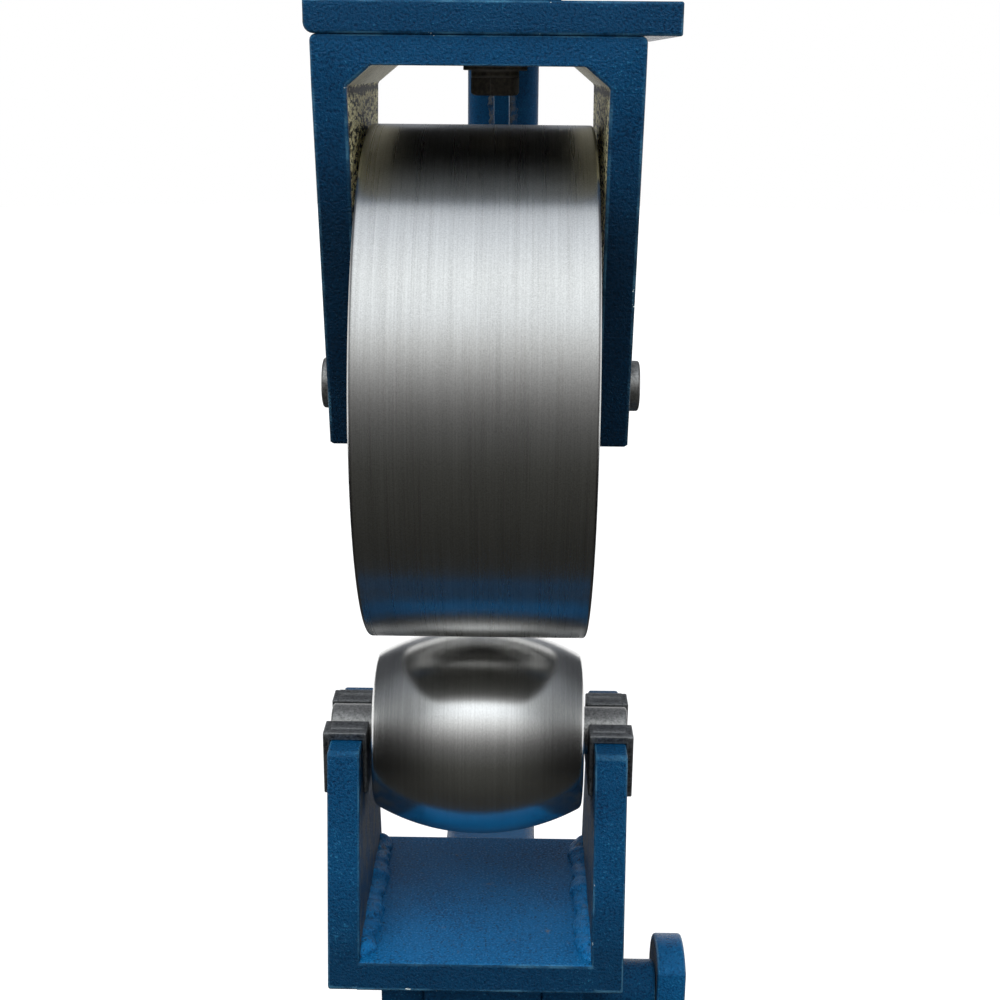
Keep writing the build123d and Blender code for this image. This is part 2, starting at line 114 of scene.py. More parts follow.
def coordinate(tree, place, axis):
    """One coordinate of a place, by the axis's letter."""
    return add_node(tree, "ShaderNodeSeparateXYZ", {0: place}).outputs[axis]


def own_place(tree):
    """The object's own coordinates, in metres."""
    return add_node(tree, "ShaderNodeTexCoord").outputs["Object"]


def ramp(tree, factor, *stops):
    """Colour ramp over stops of (position, colour)."""
    node = add_node(tree, "ShaderNodeValToRGB", {"Fac": factor})
    while len(node.color_ramp.elements) < len(stops):
        node.color_ramp.elements.new(1.0)
    for element, (position, colour) in zip(node.color_ramp.elements, stops):
        element.position = position
        element.color = (*colour, 1.0)
    return node.outputs["Color"]


def background_rays(tree):
    """1 for rays that see the background itself: from the camera, by mirror reflection or through glass."""
    path = add_node(tree, "ShaderNodeLightPath").outputs
    seen = times(tree, path["Is Camera Ray"], path["Is Glossy Ray"], "MAXIMUM")
    return times(tree, seen, path["Is Transmission Ray"], "MAXIMUM")


def stage_mesh(name, points, around):
    """Grid of points, rows by columns, as a stage mesh. Columns close on themselves where around is set."""
    rows, columns = points.shape[:2]
    index = np.arange(rows * columns).reshape(rows, columns)
    right = np.roll(index, -1, 1)
    faces = np.stack([index[:-1], right[:-1], right[1:], index[1:]], -1)
    if not around:
        faces = faces[:, :-1]
    mesh = bpy.data.meshes.new(name)
    mesh.from_pydata(points.reshape(-1, 3).tolist(), [], faces.reshape(-1, 4).tolist())
    stage_object = bpy.data.objects.new(name, mesh)
    bpy.context.scene.collection.objects.link(stage_object)
    return stage_object


def bare_tree(owner):
    """Empty node tree of a stage material or of the world."""
    owner.use_nodes = True
    owner.node_tree.nodes.clear()
    return owner.node_tree


# The floor glows with floor_glow up to floor_near from the machine, and is full white from floor_far on.
white = (1.0, 1.0, 1.0, 1.0)
floor_radius = 14.0
floor_colour = (0.34, 0.34, 0.34, 1.0)
floor_glow = 0.75
floor_near = 2.5
floor_far = 6.0
turn = np.linspace(0, 2 * np.pi, 64, endpoint=False)
reach = np.array([0.001, 0.5, 1.0, 2.0, 4.0, 8.0, floor_radius])[:, None]
floor_grid = np.stack([reach * np.cos(turn), reach * np.sin(turn), 0 * reach * turn], -1)
floor = stage_mesh("floor", floor_grid, around=True)
floor_finish = bpy.data.materials.new("pale_floor")
tree = bare_tree(floor_finish)
matt = add_node(tree, "ShaderNodeBsdfDiffuse", {"Color": floor_colour})
floor_reach = add_node(tree, "ShaderNodeVectorMath", {0: own_place(tree)}, operation="LENGTH")
runout = add_node(tree, "ShaderNodeMapRange", {
    "Value": floor_reach.outputs["Value"], "From Min": floor_near, "From Max": floor_far,
    "To Min": floor_glow, "To Max": 1.0,
})
glow_level = times(tree, background_rays(tree), runout.outputs[0])
glow = add_node(tree, "ShaderNodeEmission", {"Color": white, "Strength": glow_level})
both = add_node(tree, "ShaderNodeAddShader", {0: matt.outputs[0], 1: glow.outputs[0]})
add_node(tree, "ShaderNodeOutputMaterial", {"Surface": both.outputs[0]})
floor.data.materials.append(floor_finish)

# The world is grey below and pale above for the light it gives, and white wherever it is seen.
world = bpy.data.worlds.new("studio")
bpy.context.scene.world = world
tree = bare_tree(world)
upward = coordinate(tree, add_node(tree, "ShaderNodeTexCoord").outputs["Generated"], "Z")
height_share = plus(tree, times(tree, upward, 0.5), 0.5)
ambient_colour = ramp(
    tree, height_share, (0.0, (0.10, 0.10, 0.11)), (0.5, (0.24, 0.25, 0.26)), (1.0, (0.85, 0.89, 0.92)))
ambient = add_node(tree, "ShaderNodeBackground", {"Color": ambient_colour, "Strength": 1.0})
backdrop = add_node(tree, "ShaderNodeBackground", {"Color": white, "Strength": 1.0})
sky = add_node(tree, "ShaderNodeMixShader", {
    0: background_rays(tree), 1: ambient.outputs[0], 2: backdrop.outputs[0]})
add_node(tree, "ShaderNodeOutputWorld", {"Surface": sky.outputs[0]})

lamp_target = Vector((0.0, 0.0, 1.1))
for name, place, size, power in (
    ("overhead_lamp", (-0.5, -2.1, 4.45), 3.0, 270.0),
    ("side_lamp", (3.0, -2.0, 2.3), 1.7, 22.0),
    ("back_lamp", (-1.6, 3.3, 3.4), 2.4, 24.0),
):
    lamp_data = bpy.data.lights.new(name, "AREA")
    lamp_data.size = size
    lamp_data.energy = power
    lamp = bpy.data.objects.new(name, lamp_data)
    lamp.location = place
    lamp.rotation_mode = "QUATERNION"
    lamp.rotation_quaternion = (lamp_target - Vector(place)).to_track_quat("-Z", "Y")
    bpy.context.scene.collection.objects.link(lamp)
    lamp.visible_glossy = False

# The sweep lies on the floor, bends up in front of the machine and back over it, and ends in a hem.
sweep_rear = 2.2
sweep_front = -1.6
sweep_bend = 0.35
sweep_top = 3.0
sweep_back = 3.0
sweep_hem = 1.5
sweep_lift = 0.004
sweep_half_width = 5.0
bend_turn = np.radians(np.linspace(0, 90, 12))
bend_out = sweep_bend * (1 - np.sin(bend_turn))
bend_up = sweep_bend * (1 - np.cos(bend_turn))
sweep_y = np.concatenate([
    [sweep_rear, 1.0, 0.0], sweep_front + bend_out, sweep_front + bend_out[::-1],
    [0.0, 1.4, sweep_back, sweep_back],
])
sweep_z = np.concatenate([
    [sweep_lift] * 3, sweep_lift + bend_up, sweep_top - bend_up[::-1], [sweep_top] * 3, [sweep_hem]])
sweep_x = np.linspace(-sweep_half_width, sweep_half_width, 9)[:, None]
sweep_grid = np.stack([sweep_x + 0 * sweep_y, sweep_y + 0 * sweep_x, sweep_z + 0 * sweep_x], -1)
sweep = stage_mesh("studio_sweep", sweep_grid, around=False)
sweep.visible_camera = False
sweep.visible_diffuse = False
sweep.visible_shadow = False
sweep.visible_transmission = False
# Its shade follows the elevation above the wheel's middle, from lowest_shade to highest_shade.
wheel_middle_height = 1.2
lowest_shade = math.radians(-60)
highest_shade = math.radians(120)
sweep_finish = bpy.data.materials.new("sweep_cloth")
tree = bare_tree(sweep_finish)
place = own_place(tree)
above_wheel = minus(tree, coordinate(tree, place, "Z"), wheel_middle_height)
ahead = times(tree, coordinate(tree, place, "Y"), -1.0)
level = add_node(tree, "ShaderNodeMapRange", {
    "Value": times(tree, above_wheel, ahead, "ARCTAN2"), "From Min": lowest_shade, "From Max": highest_shade})
shade = ramp(
    tree, level.outputs[0],
    (0.00, (0.022, 0.022, 0.020)), (0.21, (0.040, 0.040, 0.036)), (0.303, (0.078, 0.078, 0.076)),
    (0.363, (0.146, 0.144, 0.142)), (0.426, (0.32, 0.32, 0.32)), (0.49, (0.61, 0.62, 0.62)),
    (0.557, (0.88, 0.92, 0.95)), (0.64, (0.94, 0.98, 1.0)), (0.77, (0.66, 0.70, 0.75)),
    (1.0, (0.20, 0.21, 0.23)),
)
side_fall = add_node(tree, "ShaderNodeMapRange", {
    "Value": size_of(tree, coordinate(tree, place, "X")),
    "From Min": 0.2, "From Max": 1.7, "To Min": 1.45, "To Max": 0.25,
}, interpolation_type="SMOOTHSTEP")
shine = add_node(tree, "ShaderNodeEmission", {"Color": shade, "Strength": side_fall.outputs[0]})
add_node(tree, "ShaderNodeOutputMaterial", {"Surface": shine.outputs[0]})
sweep.data.materials.append(sweep_finish)


# Base
# Two box-section feet, front and back, joined by a rectangular steel tube. Angle plates close
# the feet's ends, and their drilled tabs take the floor anchors. All are welded and painted blue.
worn_width = 0.0016
sharp_radius = 0.002
least_radius = 0.00005


def signed_area(points):
    """Area inside an outline, positive where it runs anticlockwise."""
    ahead = np.roll(points, -1, 0)
    return (points[:, 0] * ahead[:, 1] - points[:, 1] * ahead[:, 0]).sum() / 2


def rounded_path(corners, radii, steps=6):
    """Closed outline with an arc at each corner, as a function of how far it is drawn in.

    Drawing in moves each side inwards, and so each corner by the inset times the sum of its two
    inward normals over 1 plus their dot product. A radius falls by the inset at an outer corner
    and grows by it at an inner one. An arc starts radius / tan(half the corner) before its
    corner, and its points are the first spoke turned about the arc's centre. One point before
    it and one after keep wear near the corner."""
    corners = np.asarray(corners, float)
    radii = np.broadcast_to(np.asarray(radii, float), len(corners))[:, None]
    ahead = np.roll(corners, -1, 0) - corners
    ahead /= np.linalg.norm(ahead, axis=1, keepdims=True)
    behind = np.roll(ahead, 1, 0)
    facing = np.sign(signed_area(corners))
    normal = facing * np.stack([-ahead[:, 1], ahead[:, 0]], 1)
    normal_before = np.roll(normal, 1, 0)
    mitre = (normal_before + normal) / (1 + (normal_before * normal).sum(1, keepdims=True))
    bend = np.arccos(np.clip((behind * ahead).sum(1, keepdims=True), -1, 1))
    half = (np.pi - bend) / 2
    side = np.sign(behind[:, :1] * ahead[:, 1:] - behind[:, 1:] * ahead[:, :1])
    middle = (ahead - behind) / np.linalg.norm(ahead - behind, axis=1, keepdims=True)
    angle = side * bend * np.linspace(0, 1, steps)
    sharpness = np.clip(sharp_radius / radii, 0.1, 1.0) * bend / np.pi
    wear = np.broadcast_to(np.clip(2 * sharpness, 0, 1), (len(corners), steps + 2)).copy()
    wear[:, [0, -1]] = 0

    def drawn(inset=0.0):
        """Points and wear of the outline drawn in by the inset."""
        place = corners + mitre * inset
        radius = np.maximum(radii - facing * side * inset, least_radius)
        reach = radius / np.tan(half)
        centre = place + middle * radius / np.sin(half)
        spoke = place - behind * reach - centre
        arc_x = centre[:, :1] + spoke[:, :1] * np.cos(angle) - spoke[:, 1:] * np.sin(angle)
        arc_y = centre[:, 1:] + spoke[:, :1] * np.sin(angle) + spoke[:, 1:] * np.cos(angle)
        length = np.linalg.norm(np.roll(place, -1, 0) - place, axis=1, keepdims=True)
        spare = np.minimum((length - reach - np.roll(reach, -1, 0)) / 3, worn_width)
        lead = place - behind * (reach + np.roll(spare, 1, 0))
        trail = place + ahead * (reach + spare)
        points = np.concatenate([lead[:, None], np.stack([arc_x, arc_y], -1), trail[:, None]], 1)
        return points.reshape(-1, 2), wear.ravel()

    return drawn


def rectangle(low, high, radii):
    """Rounded rectangle between two corner points, as a function of how far it is drawn in."""
    return rounded_path([low, (high[0], low[1]), high, (low[0], high[1])], radii)


def circle(middle, radius, count=96):
    """Circle of count points, as a function of how far it is drawn in."""
    angle = 2 * np.pi * np.arange(count) / count
    spokes = np.stack([np.cos(angle), np.sin(angle)], 1)
    return lambda inset=0.0: (np.array(middle) + (radius - inset) * spokes, np.zeros(count))


def across_axes(along):
    """Number of the axis along, and the numbers of the two axes across it."""
    axis = "xyz".index(along)
    return axis, [other for other in range(3) if other != axis]


def runs_backwards(outline, along):
    """Whether an outline, carried along the axis, would turn its side inwards."""
    return signed_area(outline) * (-1 if along == "y" else 1) < 0


def ring_shape(rings, wear, closed=False, skins=(0, 0, 0), side_finish=None):
    """Surface through a stack of rings, each joined to the next by quads.

    An open stack gets a flat cap at each end. skins are the finishes of the side, first cap and
    last cap. Normals are the cross product of the differences around and along the stack."""
    count, around = rings.shape[:2]
    index = np.arange(count * around).reshape(count, around)
    lower = index if closed else index[:-1]
    upper = np.roll(index, -1, 0) if closed else index[1:]
    quads = np.stack([lower, np.roll(lower, -1, 1), np.roll(upper, -1, 1), upper], -1)
    around_step = np.roll(rings, -1, 1) - np.roll(rings, 1, 1)
    along_step = np.roll(rings, -1, 0) - np.roll(rings, 1, 0) if closed else np.gradient(rings, axis=0)
    normals = np.cross(around_step, along_step)
    normals /= np.maximum(np.linalg.norm(normals, axis=2, keepdims=True), 1e-12)
    share_around = np.stack([np.arange(around), np.arange(around) + 1], 1) / around
    share_along = np.stack([np.arange(len(lower)), np.arange(len(lower)) + 1], 1) / len(lower)
    uv = np.zeros((len(lower), around, 4, 2))
    uv[..., [0, 3], 0] = share_around[None, :, :1]
    uv[..., [1, 2], 0] = share_around[None, :, 1:]
    uv[..., [0, 1], 1] = share_along[:, None, :1]
    uv[..., [2, 3], 1] = share_along[:, None, 1:]
    finish = np.full(quads.shape[:2], skins[0]) if side_finish is None else side_finish
    caps = [] if closed else [(index[0, ::-1].tolist(), skins[1]), (index[-1].tolist(), skins[2])]
    return {
        "points": rings.reshape(-1, 3), "normals": normals.reshape(-1, 3), "wear": wear.ravel(),
        "quads": quads.reshape(-1, 4), "uv": uv.reshape(-1, 2), "finish": finish.ravel(), "caps": caps,
    }


def stack(outline, depths, insets, along, ring_wear, side_share, skins=(0, 0, 0)):
    """Outline carried along an axis through the given depths, drawn in by an inset at each."""
    points = np.stack([outline(inset)[0] for inset in insets])
    corner_wear_and_highlight = outline()[1]
    axis, flat = across_axes(along)
    if runs_backwards(points[0], along):
        points = points[:, ::-1]
        corner_wear_and_highlight = corner_wear_and_highlight[::-1]
    rings = np.zeros((*points.shape[:2], 3))
    rings[..., flat] = points
    rings[..., axis] = np.asarray(depths)[:, None]
    wear = np.maximum(np.asarray(ring_wear)[:, None], corner_wear_and_highlight * np.asarray(side_share)[:, None])
    return ring_shape(rings, wear, skins=skins)


def plate(outline, low, high, along, edge=0.0008, skins=(0, 0, 0)):
    """Plate with rounded edges, its outline carried from low to high along an axis.

    At each face the outline is drawn in by edge * (1 - sin turn) while the depth grows by
    edge * (1 - cos turn), through a quarter turn."""
    thickness = high - low
    turn = np.linspace(0, np.pi / 2, 4)
    face_worn = min(worn_width, thickness / 6)
    inset = np.concatenate([[edge + face_worn], edge * (1 - np.sin(turn)), [0]])
    depth = np.concatenate([[0], edge * (1 - np.cos(turn)), [edge + face_worn]])
    ring_wear = np.array([0, 0.6, 1, 1, 0.6, 0])
    side_share = np.array([0, 0.2, 0.8, 1, 1, 1])
    depths = low + np.concatenate([depth, thickness - depth[::-1]])
    insets, wear, shares = [np.concatenate([half, half[::-1]]) for half in (inset, ring_wear, side_share)]
    return stack(outline, depths, insets, along, wear, shares, skins)


def block(node, along, radius, edge):
    """Rounded plate that fills a CAD node's box."""
    low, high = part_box(node)
    axis, (first, second) = across_axes(along)
    outline = rectangle((low[first], low[second]), (high[first], high[second]), radius)
    return plate(outline, low[axis], high[axis], along, edge)


def pierced(outer, inner, low, high, along, edge=0.0006):
    """Wall between two outlines of as many points, carried along an axis, with its rims rounded.

    The section runs up the outer side and down the inner one, cutting each corner by the edge."""
    axis, flat = across_axes(along)
    if runs_backwards(outer, along):
        outer = outer[::-1]
        inner = inner[::-1]
    across = inner - outer
    across /= np.linalg.norm(across, axis=1, keepdims=True)
    rings = []
    for outline, drawn, depth in (
        (outer, edge, low), (outer, 0, low + edge), (outer, 0, high - edge), (outer, edge, high),
        (inner, -edge, high), (inner, 0, high - edge), (inner, 0, low + edge), (inner, -edge, low),
    ):
        ring = np.zeros((len(outline), 3))
        ring[:, flat] = outline + across * drawn
        ring[:, axis] = depth
        rings.append(ring)
    return ring_shape(np.array(rings), np.full((8, len(outer)), 0.5), closed=True)


def make_piece(name, shapes, finishes, body, slot, *nodes):
    """Joins shapes into one mesh at the origin, dresses it and lets it ride on its body."""
    starts = np.cumsum([0] + [len(shape["points"]) for shape in shapes])
    faces = []
    finish = []
    uv = []
    for shape, start in zip(shapes, starts):
        faces += (shape["quads"] + start).tolist()
        finish += shape["finish"].tolist()
        uv.append(shape["uv"])
        for cap, skin in shape["caps"]:
            faces.append([corner + int(start) for corner in cap])
            finish.append(skin)
            uv.append(np.zeros((len(cap), 2)))
    mesh = bpy.data.meshes.new(name)
    mesh.from_pydata(np.concatenate([shape["points"] for shape in shapes]).tolist(), [], faces)
    mesh.polygons.foreach_set("material_index", np.array(finish, np.int32))
    mesh.polygons.foreach_set("use_smooth", np.ones(len(faces), bool))
    mesh.uv_layers.new(name="turning").data.foreach_set("uv", np.concatenate(uv).astype(np.float32).ravel())
    wear = mesh.attributes.new("wear", "FLOAT", "POINT")
    wear.data.foreach_set("value", np.concatenate([shape["wear"] for shape in shapes]).astype(np.float32))
    for material in finishes:
        mesh.materials.append(material)
    mesh.update()
    normals = np.concatenate([shape["normals"] for shape in shapes])
    mesh.normals_split_custom_set_from_vertices(normals.tolist())
    piece = bpy.data.objects.new(name, mesh)
    bpy.context.scene.collection.objects.link(piece)
    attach(piece, body)
    if nodes:
        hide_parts(*nodes)


def noise(tree, place, scale, detail, roughness):
    """Noise pattern's value, features about 1 / scale metres across.

    Detail is the number of finer layers over the first, and roughness what each keeps of the last."""
    return add_node(tree, "ShaderNodeTexNoise", {
        "Vector": place, "Scale": scale, "Detail": detail, "Roughness": roughness}).outputs["Fac"]


def ramp_value(tree, value, low, high, to_low=0.0, to_high=1.0):
    """Value between low and high, spread smoothly from to_low to to_high."""
    return add_node(tree, "ShaderNodeMapRange", {
        "Value": value, "From Min": low, "From Max": high, "To Min": to_low, "To Max": to_high,
    }, interpolation_type="SMOOTHSTEP").outputs["Result"]


def weighed(tree, share, first, second):
    """Sum of share times the first value and 1 - share times the second."""
    return plus(tree, times(tree, first, share), times(tree, second, 1 - share))


def edge_rounding_mask(tree):
    """The piece's wear attribute, 1 on a sharp edge's rounding and 0 on a flat."""
    return add_node(tree, "ShaderNodeAttribute", attribute_name="wear").outputs["Fac"]


def blend_colour(tree, share, first, second):
    """Colour that goes from the first to the second as share goes from 0 to 1."""
    node = add_node(tree, "ShaderNodeMix", data_type="RGBA")
    for socket, value in ((node.inputs[0], share), (node.inputs[6], first), (node.inputs[7], second)):
        if isinstance(value, bpy.types.NodeSocket):
            tree.links.new(value, socket)
        else:
            socket.default_value = value if isinstance(value, float) else (*value, 1.0)
    return node.outputs[2]


def new_finish(name):
    """Empty material, its node tree, its Principled shader and the object's own coordinates."""
    material = bpy.data.materials.new(name)
    material.use_nodes = True
    tree = material.node_tree
    shader = tree.nodes["Principled BSDF"]
    return material, tree, shader, own_place(tree)


def bump(tree, height, distance):
    """Normal of a surface raised by height times distance, in metres."""
    node = add_node(tree, "ShaderNodeBump", {"Height": height, "Distance": distance, "Strength": 1.0})
    return node.outputs[0]


paint_deep = (0.0008, 0.017, 0.050)
paint_mid = (0.0018, 0.040, 0.104)
# The lightest blue stands for glints: a painted highlight.
paint_glint_colour = (0.014, 0.115, 0.225)
chip_colour = (0.42, 0.50, 0.52)
edge_wear_and_highlight_colour = (0.075, 0.22, 0.33)
# Colour of the painted shade low on the fork's legs and the yoke's plates.
painted_shade_colour = (0.0010, 0.0060, 0.0130)
dirt_colour = (0.085, 0.080, 0.066)
pit_colour = (0.004, 0.006, 0.008)
paint_relief = 0.00085


def blue_paint(name, grime=0.0, brightness=1.0, relief=1.0, gloss=0.16, painted_shade_band=None):
    """Thick, glossy blue enamel with a hammered relief.

    Fine noise mixes deep, middle and light blue and raises the surface; a slow noise shifts the
    whole. The light blue at the noise's peaks is painted glints. Edges, where the wear attribute
    is high, are paler in places, partly a thinner coat and partly a painted highlight, and broken
    noise chips it to pale primer there. Grime is the share of brown-grey dirt that lies on it, and
    then black pits lie where a finer noise is lowest. Brightness multiplies the three blues, and
    the lighter and darker copies made with it are painted light and shade; relief multiplies the
    hammered height, and a smooth coat has few painted glints. Gloss is the shader's specular
    level. The last argument is painted shade that darkens it towards the bottom: the height
    where it is darkest, the height where it ends, and the share."""
    material, tree, shader, place = new_finish(name)
    speckle = noise(tree, place, 1050.0, 3.0, 0.62)
    drift = noise(tree, place, 34.0, 3.0, 0.55)
    mixed = weighed(tree, 0.75, speckle, drift)
    deep, middle, glint_blue = [
        tuple(channel * brightness for channel in shade) for shade in (paint_deep, paint_mid, paint_glint_colour)]
    if relief < 0.5:
        glint_blue = tuple(0.9 * calm + 0.1 * bright for calm, bright in zip(middle, glint_blue))
    # The light blue at the noise's peaks is painted glints.
    colour = ramp(tree, mixed, (0.36, deep), (0.50, middle), (0.60, middle), (0.67, glint_blue))
    # Painted shade: the blue darkens towards the bottom, between the two heights.
    if painted_shade_band:
        darkest_shade_height, shade_end_height, share = painted_shade_band
        uneven = plus(tree, times(tree, drift, 0.02), minus(tree, coordinate(tree, place, "Z"), 0.01))
        painted_shade_share = ramp_value(tree, uneven, shade_end_height, darkest_shade_height)
        colour = blend_colour(tree, times(tree, painted_shade_share, share), colour, painted_shade_colour)
    wear = edge_rounding_mask(tree)
    patchy = noise(tree, place, 70.0, 3.0, 0.6)
    # Edges turn paler in places: partly a thinner coat, partly a painted highlight.
    pale = times(tree, ramp_value(tree, wear, 0.70, 1.05), ramp_value(tree, patchy, 0.40, 0.70, 0.15, 1.0))
    colour = blend_colour(tree, times(tree, pale, 0.40), colour, edge_wear_and_highlight_colour)
    broken = noise(tree, place, 150.0, 4.0, 0.72)
    chipped = ramp_value(tree, plus(tree, broken, times(tree, wear, 0.20)), 0.86, 0.88)
    colour = blend_colour(tree, chipped, colour, chip_colour)
    if grime:
        spread = noise(tree, place, 120.0, 4.0, 0.70)
        dirt = ramp_value(tree, spread, 0.66 - 0.25 * grime, 0.80 - 0.25 * grime)
        colour = blend_colour(tree, times(tree, dirt, 0.70), colour, dirt_colour)
        pitted = ramp_value(tree, noise(tree, place, 900.0, 2.0, 0.6), 0.40, 0.34)
        colour = blend_colour(tree, times(tree, pitted, 0.8), colour, pit_colour)
    dulling = plus(tree, times(tree, speckle, 0.14), times(tree, chipped, 0.3))
    fill_inputs(tree, shader, {
        "Base Color": colour, "Roughness": plus(tree, dulling, 0.16 + 0.25 * grime),
        "Specular IOR Level": gloss,
        "Normal": bump(tree, minus(tree, speckle, times(tree, chipped, 0.7)), paint_relief * relief),
    })
    return material


paint = blue_paint("hammered_blue_enamel")
dirty_paint = blue_paint("grimy_blue_enamel", grime=0.9)

tube_corner = 0.008
base_low, base_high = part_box("base_beam")
beam_outline = rectangle((base_low.x, base_low.z), (base_high.x, base_high.z), tube_corner)
make_piece(
    "base_beam_tube", [plate(beam_outline, base_low.y, base_high.y, "y")], [paint],
    "frame", "blue_paint", "base_beam",
)
anchor_hole_radius = 0.007
foot_corner = 0.002
foot_end_thickness = 0.006
foot_tab_thickness = 0.010
for foot in ("front_foot", "rear_foot"):
    foot_low, foot_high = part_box(foot)
    ends_low, ends_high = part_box(foot + "_ends")
    section = rectangle((foot_low.y, foot_low.z), (foot_high.y, foot_high.z), foot_corner)
    make_piece(
        foot + "_box", [plate(section, foot_low.x, foot_high.x, "x")], [paint], "frame", "blue_paint", foot,
    )
    end_shapes = []
    for side in (-1, 1):
        inner = foot_high.x if side > 0 else foot_low.x
        upright = sorted((inner, inner + side * foot_end_thickness))
        end_shapes.append(plate(section, *upright, "x"))
        tab_reach = (ends_high.x - foot_high.x) / 2
        tab_half = (ends_high.y - ends_low.y) / 2
        middle = np.array([inner + side * tab_reach, (ends_low.y + ends_high.y) / 2])
        hole = circle((0, 0), 1.0)()[0]
        square = hole / np.maximum(abs(hole[:, :1]) / tab_reach, abs(hole[:, 1:]) / tab_half)
        end_shapes.append(pierced(
            middle + square, middle + hole * anchor_hole_radius,
            ends_low.z, ends_low.z + foot_tab_thickness, "z",
        ))
    make_piece(foot + "_end_plates", end_shapes, [paint], "frame", "blue_paint", foot + "_ends")


# Column and arms
# Rectangular tube, capped at the top of the column and the front of the upper arm. Plate
# gussets stiffen the throat and the column's foot, and hand-laid weld beads join the pieces.
def weld_bead(start, end, wall_a, wall_b, leg, seed, pitch=0.0045, ripple=0.05, lumps=1.0):
    """Weld bead along an inside corner from start to end.

    Its section is a rounded square, leg / (|cos|^1.5 + |sin|^1.5)^(1/1.5), between the two wall
    directions. The leg swells and falls in ripples one pitch apart and in slow sine waves, and
    runs out to nothing at both ends."""
    start = np.array(start, float)
    end = np.array(end, float)
    wall_a = np.array(wall_a, float)
    wall_b = np.array(wall_b, float)
    length = np.linalg.norm(end - start)
    stations = max(24, int(length / pitch * 5))
    share = np.linspace(0, 1, stations)[:, None]
    angle = 2 * np.pi * np.arange(28) / 28
    section = (abs(np.cos(angle)) ** 1.5 + abs(np.sin(angle)) ** 1.5) ** (-1 / 1.5)
    run = share * length
    wave = ripple * np.cos(2 * np.pi * run / pitch + 0.8 * np.cos(angle - 0.8))
    drift = 0.10 * np.sin(run * 190 + seed) + 0.07 * np.sin(run * 431 + 2.3 * seed + 2 * angle)
    drift = lumps * (drift + 0.05 * np.sin(run * 977 + 1.7 * seed + 3 * angle))
    runout = np.sqrt(np.clip(np.minimum(share, 1 - share) * length / leg, 0.03, 1))
    radius = leg * section * (1 + wave + drift) * runout
    path = start + (end - start) * share
    rings = path[:, None, :] + radius[..., None] * (
        np.cos(angle)[:, None] * wall_a + np.sin(angle)[:, None] * wall_b)
    if np.dot(np.cross(wall_a, wall_b), end - start) < 0:
        rings = rings[:, ::-1]
    return ring_shape(rings, np.full(rings.shape[:2], 0.25))


tube_edge = 0.0015
cap_corner = 0.004
for node, along in (("column", "z"), ("upper_arm", "y"), ("lower_arm", "y")):
    make_piece(
        node + "_tube", [block(node, along, tube_corner, tube_edge)], [paint], "frame", "blue_paint", node,
    )
for node, along in (("column_cap", "z"), ("upper_arm_cap", "y")):
    make_piece(
        node + "_plate", [block(node, along, cap_corner, tube_edge)], [paint], "frame", "blue_paint", node,
    )
column_low, column_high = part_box("column")
upper_low, upper_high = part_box("upper_arm")
lower_low, lower_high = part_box("lower_arm")
gusset_corner = 0.012
gusset_radius = 0.001
for node, corner_z, direction in (("upper_gusset", upper_low.z, -1), ("lower_gusset", lower_high.z, 1)):
    low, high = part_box(node)
    far_z = low.z if direction < 0 else high.z
    corners = [
        (high.y, corner_z), (low.y, corner_z), (low.y, corner_z + direction * gusset_corner),
        (high.y - gusset_corner, far_z), (high.y, far_z),
    ]
    make_piece(
        node + "_plate", [plate(rounded_path(corners, gusset_radius), low.x, high.x, "x")], [paint],
        "frame", "blue_paint", node,
    )
low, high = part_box("foot_gussets")
gusset_shapes = []
for side in (-1, 1):
    corners = [
        (side * column_high.x, low.z), (side * high.x, low.z), (side * high.x, low.z + gusset_corner),
        (side * (column_high.x + gusset_corner), high.z), (side * column_high.x, high.z),
    ]
    gusset_shapes.append(plate(rounded_path(corners, gusset_radius), low.y, high.y, "y"))
make_piece("foot_gusset_plates", gusset_shapes, [paint], "frame", "blue_paint", "foot_gussets")

# A bead is listed by its start, its end and the two wall directions. Its number seeds its waves.
frame_leg = 0.006
front = column_low.y
back = column_high.y
half = column_high.x
lower_front = lower_low.y
rear_top = column_low.z
gusset_half = 0.006
bead_end = 0.008
base_bead_top = 0.052
gusset_bead_end = 0.14
gusset_bead_start = 0.004
beads = []
for side in (-1, 1):
    outward = (side, 0, 0)
    edge_x = side * half
    for wall_y, low_z, high_z, facing in (
        (front, upper_low.z, upper_high.z, -1), (front, lower_low.z, lower_high.z, -1),
        (lower_front, lower_low.z, lower_high.z, 1),
    ):
        beads.append((
            (edge_x, wall_y, low_z + bead_end), (edge_x, wall_y, high_z - bead_end), outward, (0, facing, 0)))
    beads.append((
        (edge_x, front + bead_end, rear_top), (edge_x, back - bead_end, rear_top), outward, (0, 0, 1)))
    edge_x = side * gusset_half
    for arm_z, up in ((upper_low.z, -1), (lower_high.z, 1)):
        beads.append((
            (edge_x, front - gusset_bead_end, arm_z), (edge_x, front - gusset_bead_start, arm_z),
            outward, (0, 0, up)))
        beads.append((
            (edge_x, front, arm_z + up * gusset_bead_start), (edge_x, front, arm_z + up * gusset_bead_end),
            outward, (0, -1, 0)))
    edge_x = side * base_high.x
    for wall_y, facing in ((base_high.y, -1), (base_low.y, 1)):
        beads.append(((edge_x, wall_y, bead_end), (edge_x, wall_y, base_bead_top), outward, (0, facing, 0)))
for wall_y, wall_z, facing, up in (
    (front, lower_low.z, -1, -1), (lower_front, lower_low.z, 1, -1), (front, rear_top, -1, 1),
):
    beads.append((
        (-half + bead_end, wall_y, wall_z), (half - bead_end, wall_y, wall_z), (0, facing, 0), (0, 0, up)))
bead_shapes = [weld_bead(*bead, frame_leg, number) for number, bead in enumerate(beads)]
make_piece("frame_welds", bead_shapes, [dirty_paint], "frame", "blue_paint")


